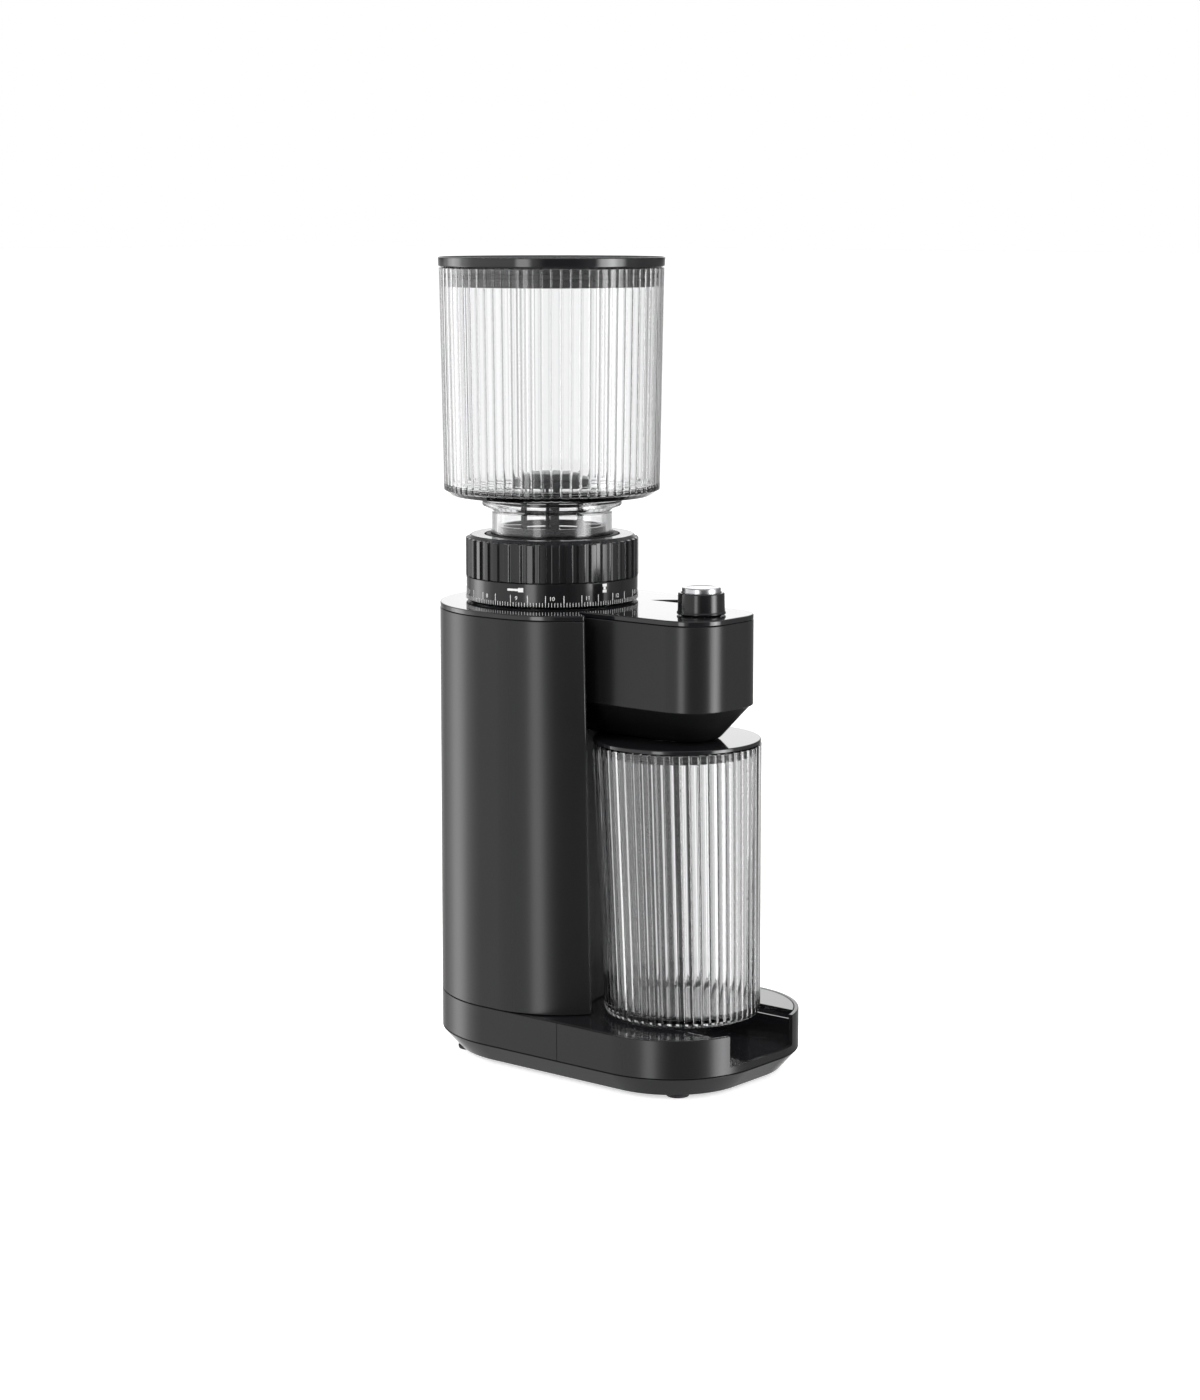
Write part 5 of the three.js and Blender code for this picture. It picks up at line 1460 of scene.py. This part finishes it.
@dataclass
class Studio:
    """Camera, floor, lamps and the surround that shiny pieces mirror."""

    eye: tuple = (-1.185, -0.969, 0.43)
    heading: float = 39.5  # degrees from +X towards +Y
    pitch: float = 7.0  # degrees downwards
    lens: float = 78.15
    rise: float = -0.079  # shift that keeps the upright edges upright
    panels: tuple = (
        Panel(0, 0.2), Panel(13, 0.25), Panel(24, 0.6), Panel(31, 1.8), Panel(39, 1.9), Panel(50, 1.4),
        Panel(59, 0.5), Panel(74, 0.35), Panel(88, 1.0), Panel(97, 2.6), Panel(103, 3.7), Panel(111, 3.5),
        Panel(120, 1.7), Panel(135, 0.95), Panel(182, 0.9), Panel(187, 3.9), Panel(195, 3.9),
        Panel(202, 0.7), Panel(215, 0.06), Panel(243, 0.06), Panel(264, 0.3), Panel(274, 6.0),
        Panel(284, 9.0), Panel(293, 5.0), Panel(303, 0.5), Panel(328, 0.25), Panel(360, 0.2),
    )
    reach: tuple = (-0.5, 0.35)  # the panels' lower and upper ends, as sines of their elevation
    sky: float = 0.5  # brightness above and below the panels
    reach_soft: float = 0.12
    strip: tuple = (0.0, 0.06)  # the dark strip behind the object, as sines of its elevation
    strip_soft: float = 0.02
    strip_depth: float = 0.96  # share of the panels' light that the strip takes
    strip_ahead: tuple = (0.6, 0.85)  # cosines from the camera's heading where it sets in
    through: tuple = (0.5, 1.0)  # darkest and brightest that the surround looks through clear plastic
    floor_reach: float = 30.0  # metres
    floor_colour: tuple = (0.86, 0.86, 0.86)
    floor_lift: float = 0.6  # light of its own, which only the eye sees
    aim: tuple = (0.0, 0.0, 0.2)  # the object's middle, in metres
    lamps: tuple = (
        Lamp("left_lamp", 150, 35, 1.8, 1.0, 18), Lamp("right_lamp", 285, 40, 1.8, 1.0, 15),
        Lamp("top_lamp", 218, 80, 1.7, 1.4, 18),
    )

    def make_camera(self) -> None:
        """A long lens, level with the hopper's lid and turned down at the object."""
        data = bpy.data.cameras.new("camera")
        data.lens, data.sensor_width = self.lens, 36.0
        data.shift_y = self.rise
        data.clip_end = 50.0
        camera = new_object("camera", data)
        camera.location = self.eye
        camera.rotation_euler = direction(self.heading, -self.pitch).to_track_quat("-Z", "Y").to_euler()
        bpy.context.scene.camera = camera

    def backdrop(self, g: Graph) -> bpy.types.NodeSocket:
        """Brightness of the surround: panels by bearing, and a dark strip low behind the object."""
        place = g.add("ShaderNodeTexCoord")
        parts = g.add("ShaderNodeSeparateXYZ")
        g.link(place.outputs["Generated"], parts.inputs[0])
        x, y, z = parts.outputs
        bearing = g.math("FRACT", g.math("DIVIDE", g.math("ARCTAN2", y, x), 2 * math.pi))
        ramp = g.add("ShaderNodeValToRGB")
        ramp.color_ramp.interpolation = "EASE"
        peak = max(p.brightness for p in self.panels)
        stops = ramp.color_ramp.elements
        for panel in self.panels:
            level = panel.brightness / peak
            ends = {0: stops[0], 360: stops[len(stops) - 1]}  # the ramp comes with these two
            stop = ends.get(panel.bearing) or stops.new(panel.bearing / 360)
            stop.color = (level, level, level, 1)
        g.link(bearing, ramp.inputs[0])
        panels = g.math("MULTIPLY", ramp.outputs[0], peak)
        heading = math.radians(self.heading)
        ahead = g.math("ADD", g.math("MULTIPLY", x, math.cos(heading)),
                       g.math("MULTIPLY", y, math.sin(heading)))
        low_down = self.band(g, z, *self.strip, self.strip_soft)
        strip = g.math("MULTIPLY", low_down, g.step(ahead, *self.strip_ahead))
        kept = g.math("SUBTRACT", 1.0, g.math("MULTIPLY", strip, self.strip_depth))
        dimmed = g.math("MULTIPLY", panels, kept)
        window = self.band(g, z, *self.reach, self.reach_soft)
        return g.math("MULTIPLY_ADD", window, g.math("SUBTRACT", dimmed, self.sky), self.sky)

    def band(self, g: Graph, value: bpy.types.NodeSocket, low: float, high: float,
             soft: float) -> bpy.types.NodeSocket:
        """1 between two values and 0 outside them, with soft ends."""
        above = g.step(value, low - soft, low)
        below = g.math("SUBTRACT", 1.0, g.step(value, high, high + soft))
        return g.math("MULTIPLY", above, below)

    def make_world(self) -> None:
        """White to the eye; the panelled surround for every other ray, capped through clear plastic."""
        world = bpy.data.worlds.new("studio")
        bpy.context.scene.world = world
        g = fresh_graph(world)
        path = g.add("ShaderNodeLightPath")
        level = self.backdrop(g)
        through = g.math("MAXIMUM", g.math("MINIMUM", level, self.through[1]), self.through[0])
        seen = g.add("ShaderNodeMix", data_type="FLOAT")
        g.link(path.outputs["Is Transmission Ray"], seen.inputs[0])
        g.link(level, seen.inputs[2])
        g.link(through, seen.inputs[3])
        surround = g.add("ShaderNodeBackground")
        g.link(seen.outputs[0], surround.inputs["Strength"])
        white = g.add("ShaderNodeBackground", Strength=1.0)
        for light in (surround, white):
            light.inputs["Color"].default_value = (1, 1, 1, 1)
        mixed = g.mix_shaders(path.outputs["Is Camera Ray"], surround.outputs[0], white.outputs[0])
        output = g.add("ShaderNodeOutputWorld")
        g.link(mixed, output.inputs["Surface"])

    def make_floor(self) -> None:
        """A pale floor that the eye sees with the object's shadow; other rays go through it."""
        mesh = bpy.data.meshes.new("floor")
        far = self.floor_reach
        corners = [(-far, -far, 0), (far, -far, 0), (far, far, 0), (-far, far, 0)]
        mesh.from_pydata(corners, [], [(0, 1, 2, 3)])
        floor = new_object("floor", mesh)
        look = bpy.data.materials.new("pale_floor")
        g = fresh_graph(look)
        surface = g.add("ShaderNodeBsdfPrincipled", Roughness=0.8)
        surface.inputs["Base Color"].default_value = (*self.floor_colour, 1)
        surface.inputs["Specular IOR Level"].default_value = 0.0
        surface.inputs["Emission Color"].default_value = (1, 1, 1, 1)
        path = g.add("ShaderNodeLightPath")
        g.link(g.math("MULTIPLY", path.outputs["Is Camera Ray"], self.floor_lift),
               surface.inputs["Emission Strength"])
        clear = g.add("ShaderNodeBsdfTransparent")
        seen = g.mix_shaders(path.outputs["Is Camera Ray"], clear.outputs[0], surface.outputs[0])
        output = g.add("ShaderNodeOutputMaterial")
        g.link(seen, output.inputs["Surface"])
        mesh.materials.append(look)

    def make_lamp(self, lamp: Lamp) -> None:
        """Hangs one lamp, which nothing sees or mirrors."""
        data = bpy.data.lights.new(lamp.name, "AREA")
        data.shape, data.size, data.energy = "SQUARE", lamp.size, lamp.power
        way = direction(lamp.bearing, lamp.elevation)
        made = new_object(lamp.name, data)
        made.location = Vector(self.aim) + way * lamp.distance
        made.rotation_euler = (-way).to_track_quat("-Z", "Y").to_euler()
        made.visible_camera = False
        made.visible_glossy = False
        made.visible_transmission = False

    def build(self) -> None:
        """Sets up camera, world, floor and lamps."""
        self.make_camera()
        self.make_world()
        self.make_floor()
        for lamp in self.lamps:
            self.make_lamp(lamp)
        bpy.context.scene.view_settings.view_transform = "Standard"


def main() -> None:
    """Builds the studio and every sub-assembly in order."""
    logging.basicConfig(level=logging.INFO, format="%(name)s: %(message)s")
    studio = Studio()
    studio.build()
    for assembly in (Base(), Tower(), AdjustmentRing(), Hopper(), Knob(), Container(), Mechanism()):
        assembly.build()
        LOG.info("%s done", type(assembly).__name__)
    bpy.context.view_layer.update()


if __name__ == "__main__":
    main()
